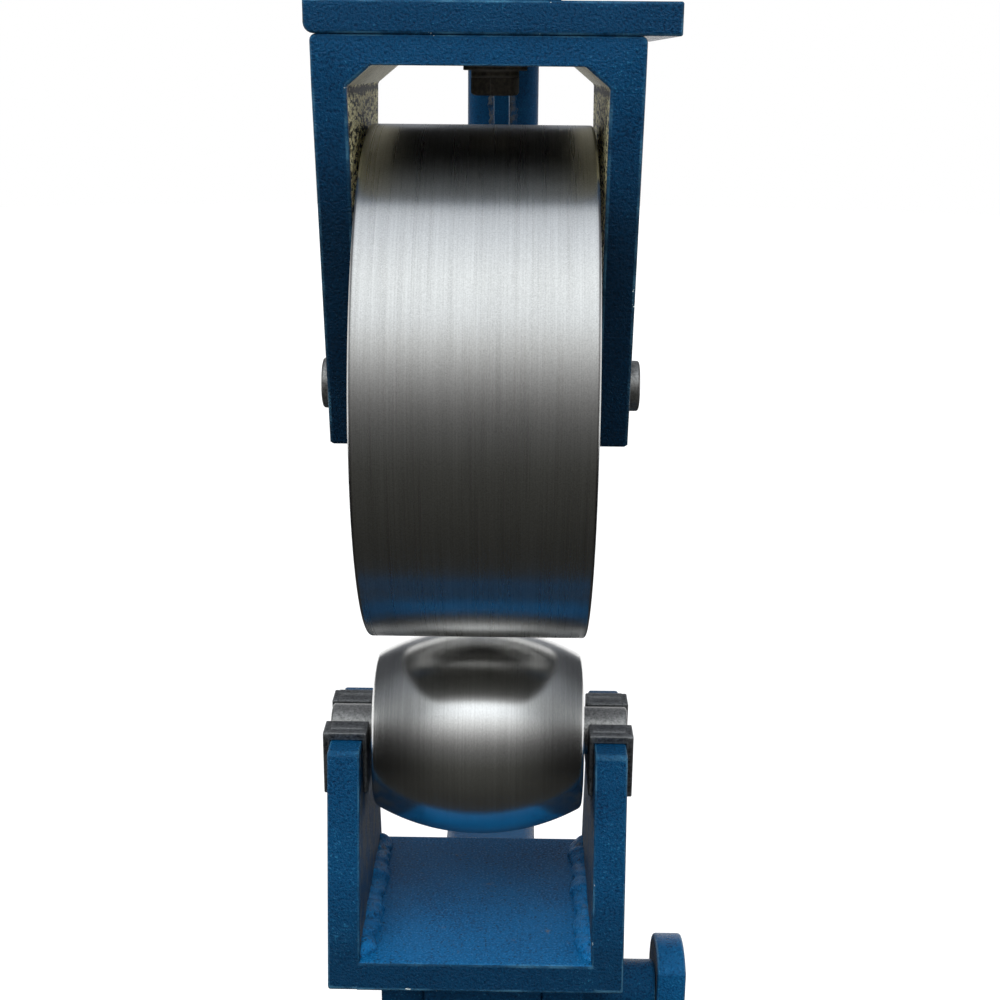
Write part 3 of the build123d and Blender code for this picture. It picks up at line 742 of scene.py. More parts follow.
# Pad plate and fork
# The pad is welded under the arm. The fork below it is welded from flat bar: its legs taper
# downwards, its inside faces are bare and rough, and its inner corners are filled and ground.
pad_low, pad_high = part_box("fork_pad")
# The pad's blue is the same paint made darker: a painted shade.
pad_paint = blue_paint("pad_blue_enamel", brightness=0.78)
pad_radii = (0.0035, 0.0008, 0.0008, 0.0008)
pad_outline = rectangle((pad_low.x, pad_low.z), (pad_high.x, pad_high.z), pad_radii)
make_piece(
    "pad_plate", [plate(pad_outline, pad_low.y, pad_high.y, "y", edge=0.0012)], [pad_paint],
    "frame", "blue_paint", "fork_pad",
)


def stretched(tree, place, scale, turned_by=(0.0, 0.0, 0.0)):
    """Place turned and then scaled on each axis, which draws a pattern out where the scale is small."""
    return add_node(tree, "ShaderNodeMapping", {
        "Vector": place, "Rotation": turned_by, "Scale": scale}).outputs[0]


def raw_steel(name):
    """Bare, rough inner face of the fork: yellow-grey scale with black pores.

    Noise drawn out along the bar mixes pale and dark scale; where a second noise falls low the
    pore is black and sunk. A ragged dark line follows the weld's toe at its height, partly undercut
    and partly painted shadow under the weld."""
    material, tree, shader, place = new_finish(name)
    drawn_out = stretched(tree, place, (1.0, 0.28, 1.0))
    grain = noise(tree, drawn_out, 900.0, 3.0, 0.7)
    pore = noise(tree, drawn_out, 640.0, 2.0, 0.6)
    colour = ramp(
        tree, grain, (0.34, (0.20, 0.165, 0.070)), (0.46, (0.68, 0.60, 0.30)), (0.56, (1.0, 0.95, 0.62)))
    pored = ramp_value(tree, pore, 0.50, 0.44)
    colour = blend_colour(tree, pored, colour, pore_colour)
    # A ragged dark line along the weld's toe: partly undercut, partly painted shadow.
    ragged = times(tree, noise(tree, place, 330.0, 4.0, 0.75), toe_raggedness)
    toe = minus(tree, plus(tree, coordinate(tree, place, "Z"), ragged), fork_toe_height + toe_lift)
    toe_line = ramp_value(tree, size_of(tree, toe), toe_line_end, toe_line_core)
    fill_inputs(tree, shader, {
        "Base Color": blend_colour(tree, toe_line, colour, toe_colour),
        "Metallic": 0.25, "Roughness": 0.62,
        "Normal": bump(tree, minus(tree, grain, times(tree, pored, 0.8)), 0.00025),
    })
    return material


def ground_weld(name):
    """Filled corner dressed with a grinder: warm grey steel with streaks along the grinding."""
    material, tree, shader, place = new_finish(name)
    streak = noise(tree, stretched(tree, place, (1.0, 9.0, 1.6), (0.9, 0.0, 0.35)), 260.0, 4.0, 0.7)
    colour = ramp(
        tree, streak, (0.34, (0.17, 0.15, 0.09)), (0.48, (0.58, 0.53, 0.36)), (0.64, (0.92, 0.87, 0.66)))
    fill_inputs(tree, shader, {
        "Base Color": colour, "Metallic": 0.35, "Roughness": 0.5, "Normal": bump(tree, streak, 0.0002)})
    return material


def shaded_underside_steel(name):
    """Underside of the fork's top, near black with a fine mottle as a painted shade, lightening to bare steel
    towards the front edge.
    """
    material, tree, shader, place = new_finish(name)
    dark_mottle = noise(tree, place, 240.0, 4.0, 0.65)
    colour = ramp(tree, dark_mottle, (0.35, (0.003, 0.003, 0.003)), (0.75, (0.016, 0.015, 0.012)))
    # The painted shade fades to bare steel towards the front edge.
    toward_front_share = ramp_value(tree, coordinate(tree, place, "Y"), -0.30 * fork_half_depth, -1.05 * fork_half_depth)
    fill_inputs(tree, shader, {
        "Base Color": blend_colour(tree, toward_front_share, colour, bare_front_colour),
        "Roughness": 0.7, "Specular IOR Level": 0.2, "Normal": bump(tree, dark_mottle, 0.0003),
    })
    return material


fork_low, fork_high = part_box("fork_top")
leg_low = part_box("fork_leg_right")[0]
fork_inner = 0.0445
fork_underside = fork_low.z
fork_half_depth = fork_high.y
fork_foot_half_depth = 0.032
fork_weld_width = 0.0085
fork_weld_height = 0.0070
fork_corner = 0.0022
fork_edge = 0.0009
fork_toe_height = fork_underside - fork_weld_height
toe_lift = 0.0018
toe_raggedness = 0.007
toe_line_core = 0.0009
toe_line_end = 0.0015
pore_colour = (0.012, 0.011, 0.008)
toe_colour = (0.006, 0.006, 0.005)
bare_front_colour = (0.40, 0.43, 0.46)
# Painted shade darkens the fork's legs towards their feet.
fork_painted_shade = (leg_low.z + 0.070, fork_toe_height + 0.010, 0.80)
fork_paint = blue_paint("fork_shaded_blue_enamel", painted_shade_band=fork_painted_shade)


def bar_between(inner, outer, half_depth, insets, edge, inner_finish):
    """Bar swept between two paths in the XZ plane, with rounded long edges.

    Each station is one point of either path. Its section is a rectangle from the inner point to
    the outer one, half_depth(z) to either side, and the corner arcs are added to its corners.
    inner_finish is the finish of each step along the inner path."""
    section, wear = rectangle((0, 0), (1, 1), edge)()
    corners = np.repeat(np.array([(0, 0), (1, 0), (1, 1), (0, 1)], float), len(section) // 4, 0)
    rounding = section - corners
    thickness = np.linalg.norm(outer - inner, axis=1, keepdims=True)
    direction = (outer - inner) / thickness
    insets = np.asarray(insets)[:, None]
    run = insets + corners[:, 0] * (thickness - 2 * insets) + rounding[:, 0]
    flat = inner[:, None] + direction[:, None] * run[..., None]
    depth = (2 * corners[:, 1] - 1) * (half_depth(flat[..., 1]) - insets) + rounding[:, 1]
    rings = np.stack([flat[..., 0], depth, flat[..., 1]], -1)
    side_finish = np.zeros((len(rings) - 1, len(section)), int)
    side_finish[:, -1] = inner_finish
    return ring_shape(rings, np.broadcast_to(wear, rings.shape[:2]), side_finish=side_finish)


def fork_half(height):
    """Half depth of the fork: full along the top, narrowing evenly down the legs."""
    rate = (fork_half_depth - fork_foot_half_depth) / (fork_underside - leg_low.z)
    return fork_half_depth - rate * np.clip(fork_underside - height, 0, 1)


weld_spare = 0.0005


def fork_path(leg_x, bend, top):
    """Both halves of a path: up the leg at leg_x, round the bend's points, and to the top's point."""
    leg = [(leg_x, leg_low.z), (leg_x, leg_low.z + fork_edge), (leg_x, fork_toe_height - weld_spare)]
    path = np.concatenate([leg, bend, [top]])
    return np.concatenate([path, path[::-1] * (-1, 1)])


outer_half = fork_high.x
outer_top_run = 0.006
arc_turn = np.linspace(0, np.pi / 2, 5)
fork_outer_path = fork_path(outer_half, np.stack([
    outer_half - fork_corner * (1 - np.cos(arc_turn)), fork_high.z - fork_corner * (1 - np.sin(arc_turn)),
], 1), (outer_half - outer_top_run, fork_high.z))
weld_share = np.linspace(0.04, 0.96, 5)
fork_inner_path = fork_path(fork_inner, np.stack([
    fork_inner - fork_weld_width * weld_share, fork_toe_height + fork_weld_height * weld_share,
], 1), (fork_inner - fork_weld_width - weld_spare, fork_underside))
fork_insets = np.zeros(len(fork_inner_path))
fork_insets[[0, -1]] = fork_edge
half_finish = [0, 1, 1, 2, 2, 2, 2, 2]
fork_finish = half_finish + [3] + half_finish[::-1]
fork_finishes = [
    fork_paint, raw_steel("bare_fork_face"), ground_weld("dressed_weld"),
    shaded_underside_steel("fork_underside_painted_shade"),
]
make_piece(
    "wheel_fork",
    [bar_between(fork_inner_path, fork_outer_path, fork_half, fork_insets, fork_edge, fork_finish)],
    fork_finishes, "frame", "blue_paint", "fork_top", "fork_leg_left", "fork_leg_right",
)


# Fork bolt and washers
# A black M10 hexagon bolt holds the fork to its pad, through a flat washer and a split spring
# washer. The turned chamfer of the head shows on its underside.
def black_oxide(name):
    """Blackened steel, brownish with old oil, with a fine mottle and lighter edges, partly rubbed and partly
    a painted highlight.
    """
    material, tree, shader, place = new_finish(name)
    mottle = noise(tree, place, 700.0, 2.0, 0.6)
    colour = ramp(tree, mottle, (0.35, (0.034, 0.029, 0.022)), (0.70, (0.135, 0.115, 0.090)))
    # Edges are lightened: partly rubbed steel, partly a painted highlight.
    fill_inputs(tree, shader, {
        "Base Color": blend_colour(tree, times(tree, edge_rounding_mask(tree), 0.35), colour, (0.34, 0.33, 0.31)),
        "Roughness": plus(tree, mottle, 0.4), "Metallic": 0.4, "Normal": bump(tree, mottle, 0.00012),
    })
    return material


bolt_low, bolt_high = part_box("fork_bolt")
bolt_x = (bolt_low.x + bolt_high.x) / 2
bolt_radius = 0.005
head_flats = 0.0165
head_turned_share = 0.95
head_turn_angle = math.radians(20)
chamfer_slope = 1.7
lit_worn_corner_share = 0.985
shank_overlap = 0.001


def hexagon_head(middle, low, high, flats):
    """Hexagon head whose lower corners are turned off.

    The radius is the smaller of the hexagon's, flats / 2 / cos(angle from the nearest flat), and a
    cone that widens by chamfer_slope times the height from the turned face."""
    angle = 2 * np.pi * np.arange(144) / 144
    hexagon = flats / 2 / np.cos(np.mod(angle - head_turn_angle, np.pi / 3) - np.pi / 6)
    chamfer_heights = np.array([0, 0.0001, 0.0003, 0.0006, 0.0009, 0.0013, 0.0018])
    height = np.concatenate([low + chamfer_heights, [high]])
    cone = flats / 2 * head_turned_share + (height - low) * chamfer_slope
    radius = np.minimum(hexagon, cone[:, None])
    rings = np.stack([middle[0] + radius * np.cos(angle), middle[1] + radius * np.sin(angle),
                      np.broadcast_to(height[:, None], radius.shape)], -1)
    # The six corners are lighter: partly rubbed, partly a painted highlight that picks out the facets.
    corner_wear_and_highlight = np.where(hexagon > lit_worn_corner_share * hexagon.max(), 0.8, 0.15)
    return ring_shape(rings, np.broadcast_to(corner_wear_and_highlight, radius.shape))


washer_low, washer_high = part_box("fork_washers")
flat_thickness = 0.0016
flat_radius = 0.012
spring_radius = 0.009
washer_bore = 0.0052
washer_edge = 0.0003
spring_gap = math.radians(9)
spring_lift = 0.0005


def spring_washer(middle, low, high):
    """Split washer: a square section carried round most of a turn, its ends a little apart in height."""
    turn = np.linspace(spring_gap, 2 * np.pi - spring_gap, 72)[:, None]
    section, wear = rectangle((washer_bore, low), (spring_radius, high), washer_edge)()
    lift = spring_lift * (turn / np.pi - 1) / 2
    rings = np.stack([
        middle[0] + section[:, 0] * np.cos(turn), middle[1] + section[:, 0] * np.sin(turn),
        np.clip(section[:, 1] + lift, low, high)], -1)
    return ring_shape(rings[::-1], np.broadcast_to(wear, rings.shape[:2]))


black = black_oxide("black_oxide_steel")
head_top = washer_low.z
make_piece(
    "bolt", [
        hexagon_head((bolt_x, 0), bolt_low.z, head_top, head_flats),
        plate(circle((bolt_x, 0), bolt_radius, 48), head_top - shank_overlap, bolt_high.z, "z", washer_edge),
    ], [black], "frame", "black_oxide", "fork_bolt",
)
flat_bottom = washer_high.z - flat_thickness
make_piece(
    "bolt_washers", [
        plate(circle((bolt_x, 0), flat_radius), flat_bottom, washer_high.z, "z", washer_edge),
        spring_washer((bolt_x, 0), washer_low.z, flat_bottom),
    ], [black], "frame", "black_oxide", "fork_washers",
)


# Upper axle
# A 20 mm bright bar through both fork legs, flush turned at its ends.
def oiled_steel(name, low_colour, high_colour, grain=1.0, roughness=0.38):
    """Bare, oiled machine steel, dark and grainy.

    Fine noise gives the grain in colour and height, slow noise the oil's drift, and worn edges
    shine. Grain multiplies the height."""
    material, tree, shader, place = new_finish(name)
    fine = noise(tree, place, 800.0, 3.0, 0.75)
    slow = noise(tree, place, 90.0, 3.0, 0.6)
    mixed = weighed(tree, 0.7, fine, slow)
    colour = ramp(tree, mixed, (0.36, low_colour), (0.64, high_colour))
    fill_inputs(tree, shader, {
        "Base Color": blend_colour(tree, times(tree, edge_rounding_mask(tree), 0.16), colour, (0.62, 0.63, 0.63)),
        "Roughness": plus(tree, times(tree, mixed, 0.3), roughness - 0.1),
        "Metallic": 0.9, "Normal": bump(tree, fine, 0.00022 * grain),
    })
    return material


dark_steel = oiled_steel("dark_oiled_steel", (0.030, 0.033, 0.035), (0.21, 0.22, 0.23))
bright_steel = oiled_steel(
    "bright_oiled_steel", (0.13, 0.13, 0.13), (0.38, 0.38, 0.37), grain=0.3, roughness=0.28)
low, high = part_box("upper_axle")
axle_radius = 0.010
bar_chamfer = 0.0010
axle_height = (low.z + high.z) / 2
make_piece(
    "upper_axle_bar", [plate(circle((0, axle_height), axle_radius), low.x, high.x, "x", bar_chamfer)],
    [bright_steel], "frame", "bare_steel", "upper_axle",
)


# Upper wheel
# A flat-faced steel wheel, turned and then finely ground round its tread, with a shallow recess
# in each side between rim and hub. A ball bearing is pressed into either end of its bore.
def turned(outline, height, along="x", stations=192):
    """Solid of revolution: a closed outline of (place along the axis, radius) carried round the axis.

    Height is that of the axis where it lies along x, and of the outline's zero where it stands up."""
    points, corner_wear_and_highlight = outline()
    if signed_area(points) < 0:
        points = points[::-1]
        corner_wear_and_highlight = corner_wear_and_highlight[::-1]
    turn = 2 * np.pi * np.arange(stations)[:, None] / stations
    run = np.broadcast_to(points[:, 0], (stations, len(points)))
    first = points[:, 1] * np.cos(turn)
    second = points[:, 1] * np.sin(turn)
    if along == "x":
        rings = np.stack([run, first, height + second], -1)
    else:
        rings = np.stack([first, second, run + height], -1)
    return ring_shape(rings, np.broadcast_to(corner_wear_and_highlight, rings.shape[:2]), closed=True)


def turned_steel(name, low_colour, high_colour, roughness, drawn_out=0.75, relief=0.000014):
    """Steel turned and ground in a lathe.

    Noise squeezed hard along the axle makes fine rings that change the colour, the roughness and
    the height a little, and an even noise sands the colour. The shine is drawn out across the
    rings by the share drawn_out, and relief is the rings' height in metres. Small dark spots lie
    where a finer noise is lowest."""
    material, tree, shader, place = new_finish(name)
    rings = noise(tree, stretched(tree, place, (1700.0, 9.0, 9.0)), 1.0, 3.0, 0.62)
    bands = noise(tree, stretched(tree, place, (320.0, 14.0, 14.0)), 1.0, 2.0, 0.6)
    mixed = weighed(tree, 0.6, rings, bands)
    sanded = weighed(tree, 0.45, noise(tree, place, 2100.0, 2.0, 0.6), mixed)
    colour = ramp(tree, sanded, (0.38, low_colour), (0.62, high_colour))
    spotted = ramp_value(tree, noise(tree, place, 1500.0, 1.0, 0.5), 0.24, 0.20)
    tangent = add_node(tree, "ShaderNodeTangent", direction_type="UV_MAP", uv_map="turning")
    fill_inputs(tree, shader, {
        "Base Color": blend_colour(tree, times(tree, spotted, 0.35), colour, (0.16, 0.16, 0.15)),
        "Roughness": plus(tree, times(tree, mixed, 0.08), roughness - 0.04),
        "Metallic": 1.0, "Anisotropic": drawn_out, "Tangent": tangent.outputs[0],
        "Normal": bump(tree, mixed, relief),
    })
    return material


ground = turned_steel(
    "ground_wheel_steel", (0.50, 0.50, 0.49), (0.72, 0.72, 0.71), roughness=0.28, drawn_out=0.55)
upper_low, upper_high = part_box("upper_wheel")
wheel_half = upper_high.x
wheel_radius = (upper_high.z - upper_low.z) / 2
rim_thickness = 0.016
recess_depth = 0.006
hub_radius = 0.033
bearing_radius = 0.0235
bearing_width = 0.014
core_radius = 0.013
tread_round = 0.0012
wheel_side = [
    (wheel_half - bearing_width, core_radius), (wheel_half - bearing_width, bearing_radius),
    (wheel_half, bearing_radius), (wheel_half, hub_radius), (wheel_half - recess_depth, hub_radius),
    (wheel_half - recess_depth, wheel_radius - rim_thickness), (wheel_half, wheel_radius - rim_thickness),
    (wheel_half, wheel_radius),
]
side_radii = [0.0005, 0.0003, 0.0006, 0.0008, 0.0018, 0.0018, 0.0008, tread_round]
wheel_corners = wheel_side + [(-x, radius) for x, radius in wheel_side[::-1]]
make_piece(
    "upper_rolling_wheel",
    [turned(rounded_path(wheel_corners, side_radii + side_radii[::-1]), axle_height, stations=288)],
    [ground], "upper_wheel_body", "ground_steel", "upper_wheel",
)


race_face = 0.0002
shield_face = 0.0010
inner_race_radius = 0.0135
outer_race_radius = 0.0200
race_slope = 0.0002
fit_gap = 0.0001


def bearing(half, height):
    """Two shielded ball bearings as rings: race, sunk shield and race on the outer face."""
    shapes = []
    for side in (-1, 1):
        corners = [
            (half - bearing_width, axle_radius + fit_gap), (half - race_face, axle_radius + fit_gap),
            (half - race_face, inner_race_radius), (half - shield_face, inner_race_radius + race_slope),
            (half - shield_face, outer_race_radius - race_slope), (half - race_face, outer_race_radius),
            (half - race_face, bearing_radius - fit_gap), (half - bearing_width, bearing_radius - fit_gap),
        ]
        corners = [(side * x, radius) for x, radius in corners]
        shapes.append(turned(rounded_path(corners, 0.0002, 3), height, stations=128))
    return shapes


bearing_steel = turned_steel("bearing_steel", (0.42, 0.42, 0.42), (0.60, 0.60, 0.60), roughness=0.25)
make_piece(
    "upper_wheel_bearings", bearing(wheel_half, axle_height), [bearing_steel],
    "upper_wheel_body", "bearing_steel", "upper_bearings",
)


# Anvil wheel
# The lower wheel is hardened and polished, and its tread is crowned to a large arc. It runs on a
# fixed 20 mm axle whose ends drop into the saddle blocks.
polished = turned_steel(
    "polished_anvil_steel", (0.70, 0.70, 0.69), (0.88, 0.88, 0.87),
    roughness=0.225, drawn_out=0.35, relief=0.000004,
)
anvil_low, anvil_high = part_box("anvil_wheel")
anvil_half = anvil_high.x
anvil_height = (anvil_low.z + anvil_high.z) / 2
anvil_edge_radius = 0.0322
crown_rise = (anvil_high.z - anvil_low.z) / 2 - anvil_edge_radius
crown_radius = (anvil_half ** 2 + crown_rise ** 2) / (2 * crown_rise)
anvil_side = [
    (-anvil_half, anvil_edge_radius), (-anvil_half, bearing_radius),
    (-anvil_half + bearing_width, bearing_radius), (-anvil_half + bearing_width, core_radius),
]
anvil_radii = [tread_round, 0.0006, 0.0003, 0.0005]
anvil_corners = anvil_side + [(-x, radius) for x, radius in anvil_side[::-1]]
tread_stations = 41
tread_share = 0.92


def crowned_outline():
    """Anvil wheel's section: the hub's corners, then the tread lifted onto the crown's arc."""
    points, wear = rounded_path(anvil_corners, anvil_radii + anvil_radii[::-1])()
    run = np.linspace(tread_share, -tread_share, tread_stations) * anvil_half
    points = np.concatenate([points, np.stack([run, np.full(tread_stations, anvil_edge_radius)], 1)])
    on_tread = points[:, 1] > anvil_edge_radius - 1.01 * tread_round
    crown = np.sqrt(crown_radius ** 2 - points[:, 0] ** 2) - math.sqrt(crown_radius ** 2 - anvil_half ** 2)
    points[:, 1] += np.where(on_tread, crown, 0)
    return points, np.concatenate([wear, np.zeros(tread_stations)])


make_piece(
    "anvil_rolling_wheel", [turned(crowned_outline, anvil_height, stations=240)], [polished],
    "anvil_wheel_body", "polished_steel", "anvil_wheel",
)
make_piece(
    "anvil_wheel_bearings", bearing(anvil_half, anvil_height), [bearing_steel],
    "anvil_wheel_body", "bearing_steel", "anvil_bearings",
)
low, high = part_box("anvil_axle")
make_piece(
    "anvil_axle_bar", [plate(circle((0, anvil_height), axle_radius), low.x, high.x, "x", bar_chamfer)],
    [bright_steel], "yoke_body", "bare_steel", "anvil_axle",
)


# Saddle blocks
# Each block sits astride a side plate of the yoke, with a thin flange inside and a thicker one
# outside, joined by a lip over the plate. They are bare steel, dark with oil, slotted for the axle.
slot_clearance = 0.00005
slot_half = axle_radius + slot_clearance
saddle_low, saddle_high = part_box("saddle_block_right")
saddle_core_depth = 0.024
saddle_core_bottom = saddle_high.z - saddle_core_depth
yoke_inner = 0.0478
yoke_outer = 0.0610
notch_half = 0.0175
saddle_edge = 0.0006
saddle_foot_round = 0.001
saddle_top_round = 0.0012
slot_mouth_round = 0.0006
core_overlap = 0.0006
lip_overlap = 0.0008
lip_edge = 0.0001
lip_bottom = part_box("yoke_side_right")[1].z + fit_gap


def saddle_outline(half_depth, bottom):
    """Block seen along the axle: a rectangle with the axle's round-bottomed slot open at the top."""
    slot_floor = anvil_height - slot_half
    top = saddle_high.z
    corners = [
        (-half_depth, bottom), (half_depth, bottom), (half_depth, top), (slot_half, top),
        (slot_half, slot_floor), (-slot_half, slot_floor), (-slot_half, top), (-half_depth, top),
    ]
    full_round = slot_half * 0.995
    radii = [
        saddle_foot_round, saddle_foot_round, saddle_top_round, slot_mouth_round,
        full_round, full_round, slot_mouth_round, saddle_top_round,
    ]
    return rounded_path(corners, radii, 10)


def span(side, near, far):
    """The two ends of a range on one side of the middle, the lower one first."""
    return sorted((side * near, side * far))


for side, name in ((-1, "left"), (1, "right")):
    flange = saddle_outline(saddle_high.y, saddle_low.z)
    core = saddle_outline(notch_half - fit_gap, saddle_core_bottom)
    shapes = []
    for outline, near, far in (
        (flange, saddle_low.x, yoke_inner - fit_gap), (flange, yoke_outer + fit_gap, saddle_high.x),
        (core, yoke_inner - core_overlap, yoke_outer + core_overlap),
    ):
        shapes.append(plate(outline, *span(side, near, far), "x", saddle_edge))
    for end in (-1, 1):
        low_y, high_y = span(end, notch_half, saddle_high.y)
        lip = rectangle((low_y, lip_bottom), (high_y, saddle_high.z), saddle_edge)
        across = span(side, yoke_inner - lip_overlap, yoke_outer + lip_overlap)
        shapes.append(plate(lip, *across, "x", lip_edge))
    make_piece(
        "saddle_" + name, shapes, [dark_steel], "yoke_body", "bare_steel", "saddle_block_" + name,
    )


# Yoke
# Two trapezoid side plates, notched for the saddle blocks, are welded to a thick base plate.
# The inside corners carry heavy hand-laid fillets, painted over and full of grime.
side_low, side_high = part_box("yoke_side_right")
base_plate_low, base_plate_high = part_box("yoke_base")
ear_half = 0.033
yoke_front = base_plate_low.y
yoke_back = base_plate_high.y
notch_floor = saddle_core_bottom
yoke_edge = 0.0011
side_corners = [
    (yoke_front, side_low.z), (yoke_back, side_low.z), (ear_half, side_high.z),
    (notch_half, side_high.z), (notch_half, notch_floor), (-notch_half, notch_floor),
    (-notch_half, side_high.z), (-ear_half, side_high.z),
]
# Painted shade darkens the yoke's plates towards their foot.
yoke_painted_shade = (side_low.z + 0.012, side_low.z + 0.050, 0.50)
yoke_paint = blue_paint("yoke_shaded_blue_enamel", painted_shade_band=yoke_painted_shade)
# The yoke floor's top face has a smoother coat, made lighter as a painted light on the upward face.
lit_floor_paint = blue_paint("smooth_lit_blue_enamel", grime=0.12, brightness=1.75, relief=0.2, gloss=0.20)
# The fillets' blue is made much lighter, a painted light on welds that lie in shade.
lit_weld_paint = blue_paint("painted_weld_enamel", grime=0.30, brightness=3.0, relief=1.6)
side_outline = rounded_path(side_corners, [0.0015, 0.0015, 0.002, 0.0006, 0.0008, 0.0008, 0.0006, 0.002])
for side, name in ((-1, "left"), (1, "right")):
    inner_skin = (0, 0, 1) if side < 0 else (0, 1, 0)
    side_plate = plate(side_outline, *span(side, side_low.x, side_high.x), "x", yoke_edge, inner_skin)
    make_piece(
        "yoke_plate_" + name, [side_plate], [yoke_paint, dirty_paint],
        "yoke_body", "blue_paint", "yoke_side_" + name,
    )
side_height = side_high.z - side_low.z
plate_share = (base_plate_high.z - base_plate_low.z) / side_height
top_front = yoke_front + (-ear_half - yoke_front) * plate_share
top_back = yoke_back + (ear_half - yoke_back) * plate_share
base_corners = [
    (yoke_front, base_plate_low.z), (yoke_back, base_plate_low.z),
    (top_back, base_plate_high.z), (top_front, base_plate_high.z),
]
base_reach = base_plate_high.x + yoke_edge
base_outline = rounded_path(base_corners, yoke_edge)
floor_shape = stack(base_outline, (-base_reach, base_reach), (0, 0), "x", (0, 0), (1, 1))
lowest_corner = floor_shape["points"][floor_shape["quads"]][..., 2].min(1)
floor_tolerance = 0.0002
floor_shape["finish"] = (lowest_corner > base_plate_high.z - floor_tolerance).astype(int)
make_piece(
    "yoke_floor_plate", [floor_shape], [yoke_paint, lit_floor_paint], "yoke_body", "blue_paint", "yoke_base",
)
yoke_leg = 0.0060
weld_end_inset = 0.006
yoke_beads = [
    weld_bead(
        (side * yoke_inner, yoke_front + weld_end_inset, base_plate_high.z),
        (side * yoke_inner, yoke_back - weld_end_inset, base_plate_high.z),
        (-side, 0, 0), (0, 0, 1), yoke_leg, 3 + side, pitch=0.0075, ripple=0.025, lumps=1.25,
    )
    for side in (-1, 1)
]
make_piece("yoke_fillets", yoke_beads, [lit_weld_paint], "yoke_body", "blue_paint", "yoke_welds")


# Quick-release under the yoke
# Two slotted lugs straddle the ram head and slide past the release shaft. A hardened pad rides
# on the cam between them, and two pins keep the yoke square.
shaft_low, shaft_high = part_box("release_shaft")
shaft_height = (shaft_low.z + shaft_high.z) / 2
shaft_radius = (shaft_high.z - shaft_low.z) / 2
release_drop = 0.006
lug_slot_radius = shaft_radius + fit_gap
for name in ("left", "right"):
    low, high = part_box("yoke_lug_" + name)
    angle = 2 * np.pi * (np.arange(96) + 0.5) / 96
    across = np.abs(np.cos(angle))
    up = np.sin(angle)
    middle_up = release_drop / 2
    round_reach = -middle_up * up + np.sqrt(high.y ** 2 - (middle_up * across) ** 2)
    square_reach = np.minimum(high.y / across, (high.z - shaft_height - middle_up) / np.maximum(up, 1e-3))
    reach = np.where(middle_up + round_reach * up < 0, round_reach, square_reach)
    straight = lug_slot_radius / across
    curved = middle_up * np.abs(up) + np.sqrt(lug_slot_radius ** 2 - (middle_up * across) ** 2)
    slot_reach = np.where(straight * np.abs(up) < middle_up, straight, curved)
    direction = np.stack([np.cos(angle), up], 1)
    middle = np.array([0, shaft_height + middle_up])
    make_piece(
        "yoke_lug_plate_" + name,
        [pierced(middle + direction * reach[:, None], middle + direction * slot_reach[:, None],
                 low.x, high.x, "x", edge=0.0010)],
        [paint], "yoke_body", "blue_paint", "yoke_lug_" + name,
    )
make_piece(
    "cam_thrust_pad", [block("thrust_pad", "z", radius=0.001, edge=0.0006)], [dark_steel],
    "yoke_body", "bare_steel", "thrust_pad",
)
low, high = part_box("guide_pins")
pin_radius = 0.005
pin_shapes = [
    plate(circle(place, pin_radius, 48), low.z, high.z, "z", edge=0.0008)
    for place in ((low.x + pin_radius, low.y + pin_radius), (high.x - pin_radius, high.y - pin_radius))
]
make_piece("yoke_guide_pins", pin_shapes, [bright_steel], "yoke_body", "bare_steel", "guide_pins")


# Release shaft, cam and lever
# The shaft runs through the lugs and ram head. Its cam is an involute, so the yoke falls evenly
# with the lever. The lever is flat bar with a round head, its front edge cut straight.
shaft_outline = circle((0, shaft_height), shaft_radius)
make_piece(
    "cross_shaft", [plate(shaft_outline, shaft_low.x, shaft_high.x, "x", edge=0.0012)], [paint],
    "lever_body", "blue_paint", "release_shaft",
)
cam_low, cam_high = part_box("release_cam")
cam_lift = 0.0204
cam_rate = release_drop / (math.pi / 2)
cam_spare = math.radians(8)
cam_back_radius = 0.014
heel_start_degrees = 186


def cam_outline(inset=0.0):
    """Involute face, lift falling by cam_rate a radian, closed by the round heel."""
    turn = np.linspace(-cam_spare, np.pi / 2 + cam_spare, 25)
    lift = cam_lift - cam_rate * turn - inset
    face = np.stack([
        -lift * np.sin(turn) + cam_rate * np.cos(turn), lift * np.cos(turn) + cam_rate * np.sin(turn)], 1)
    heel_turn = np.radians(np.linspace(heel_start_degrees, 360, 30))
    heel = (cam_back_radius - inset) * np.stack([np.cos(heel_turn), np.sin(heel_turn)], 1)
    points = np.concatenate([face, heel]) + (0, shaft_height)
    return points, np.zeros(len(points))


make_piece(
    "cam_block", [plate(cam_outline, cam_low.x, cam_high.x, "x", edge=0.0004)], [dark_steel],
    "lever_body", "bare_steel", "release_cam",
)
lever_low, lever_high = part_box("release_lever")
lever_half = 0.016
lever_head_stations = 37
lever_head_radius = lever_high.z - shaft_height
start_turn = -math.acos(lever_half / lever_head_radius)
end_turn = math.pi - math.acos(lever_half / lever_head_radius)
head_turn = np.linspace(start_turn, end_turn, lever_head_stations)
head_points = lever_head_radius * np.stack([np.cos(head_turn), np.sin(head_turn)], 1) + (0, shaft_height)
lever_corners = np.concatenate([[(-lever_half, lever_low.z), (lever_half, lever_low.z)], head_points])
lever_radii = np.concatenate([[0.003, 0.003, 0.0015], np.full(lever_head_stations - 2, 0.004), [0.0012]])
lever_outline = rounded_path(lever_corners, lever_radii, 3)
# The lever's blue is the paint made lighter: a painted light on its lit edge.
make_piece(
    "lever_plate", [plate(lever_outline, lever_low.x, lever_high.x, "x", edge=0.0013, skins=(0, 1, 0))],
    [blue_paint("lit_lever_blue_enamel", brightness=1.5), dirty_paint],
    "lever_body", "blue_paint", "release_lever",
)


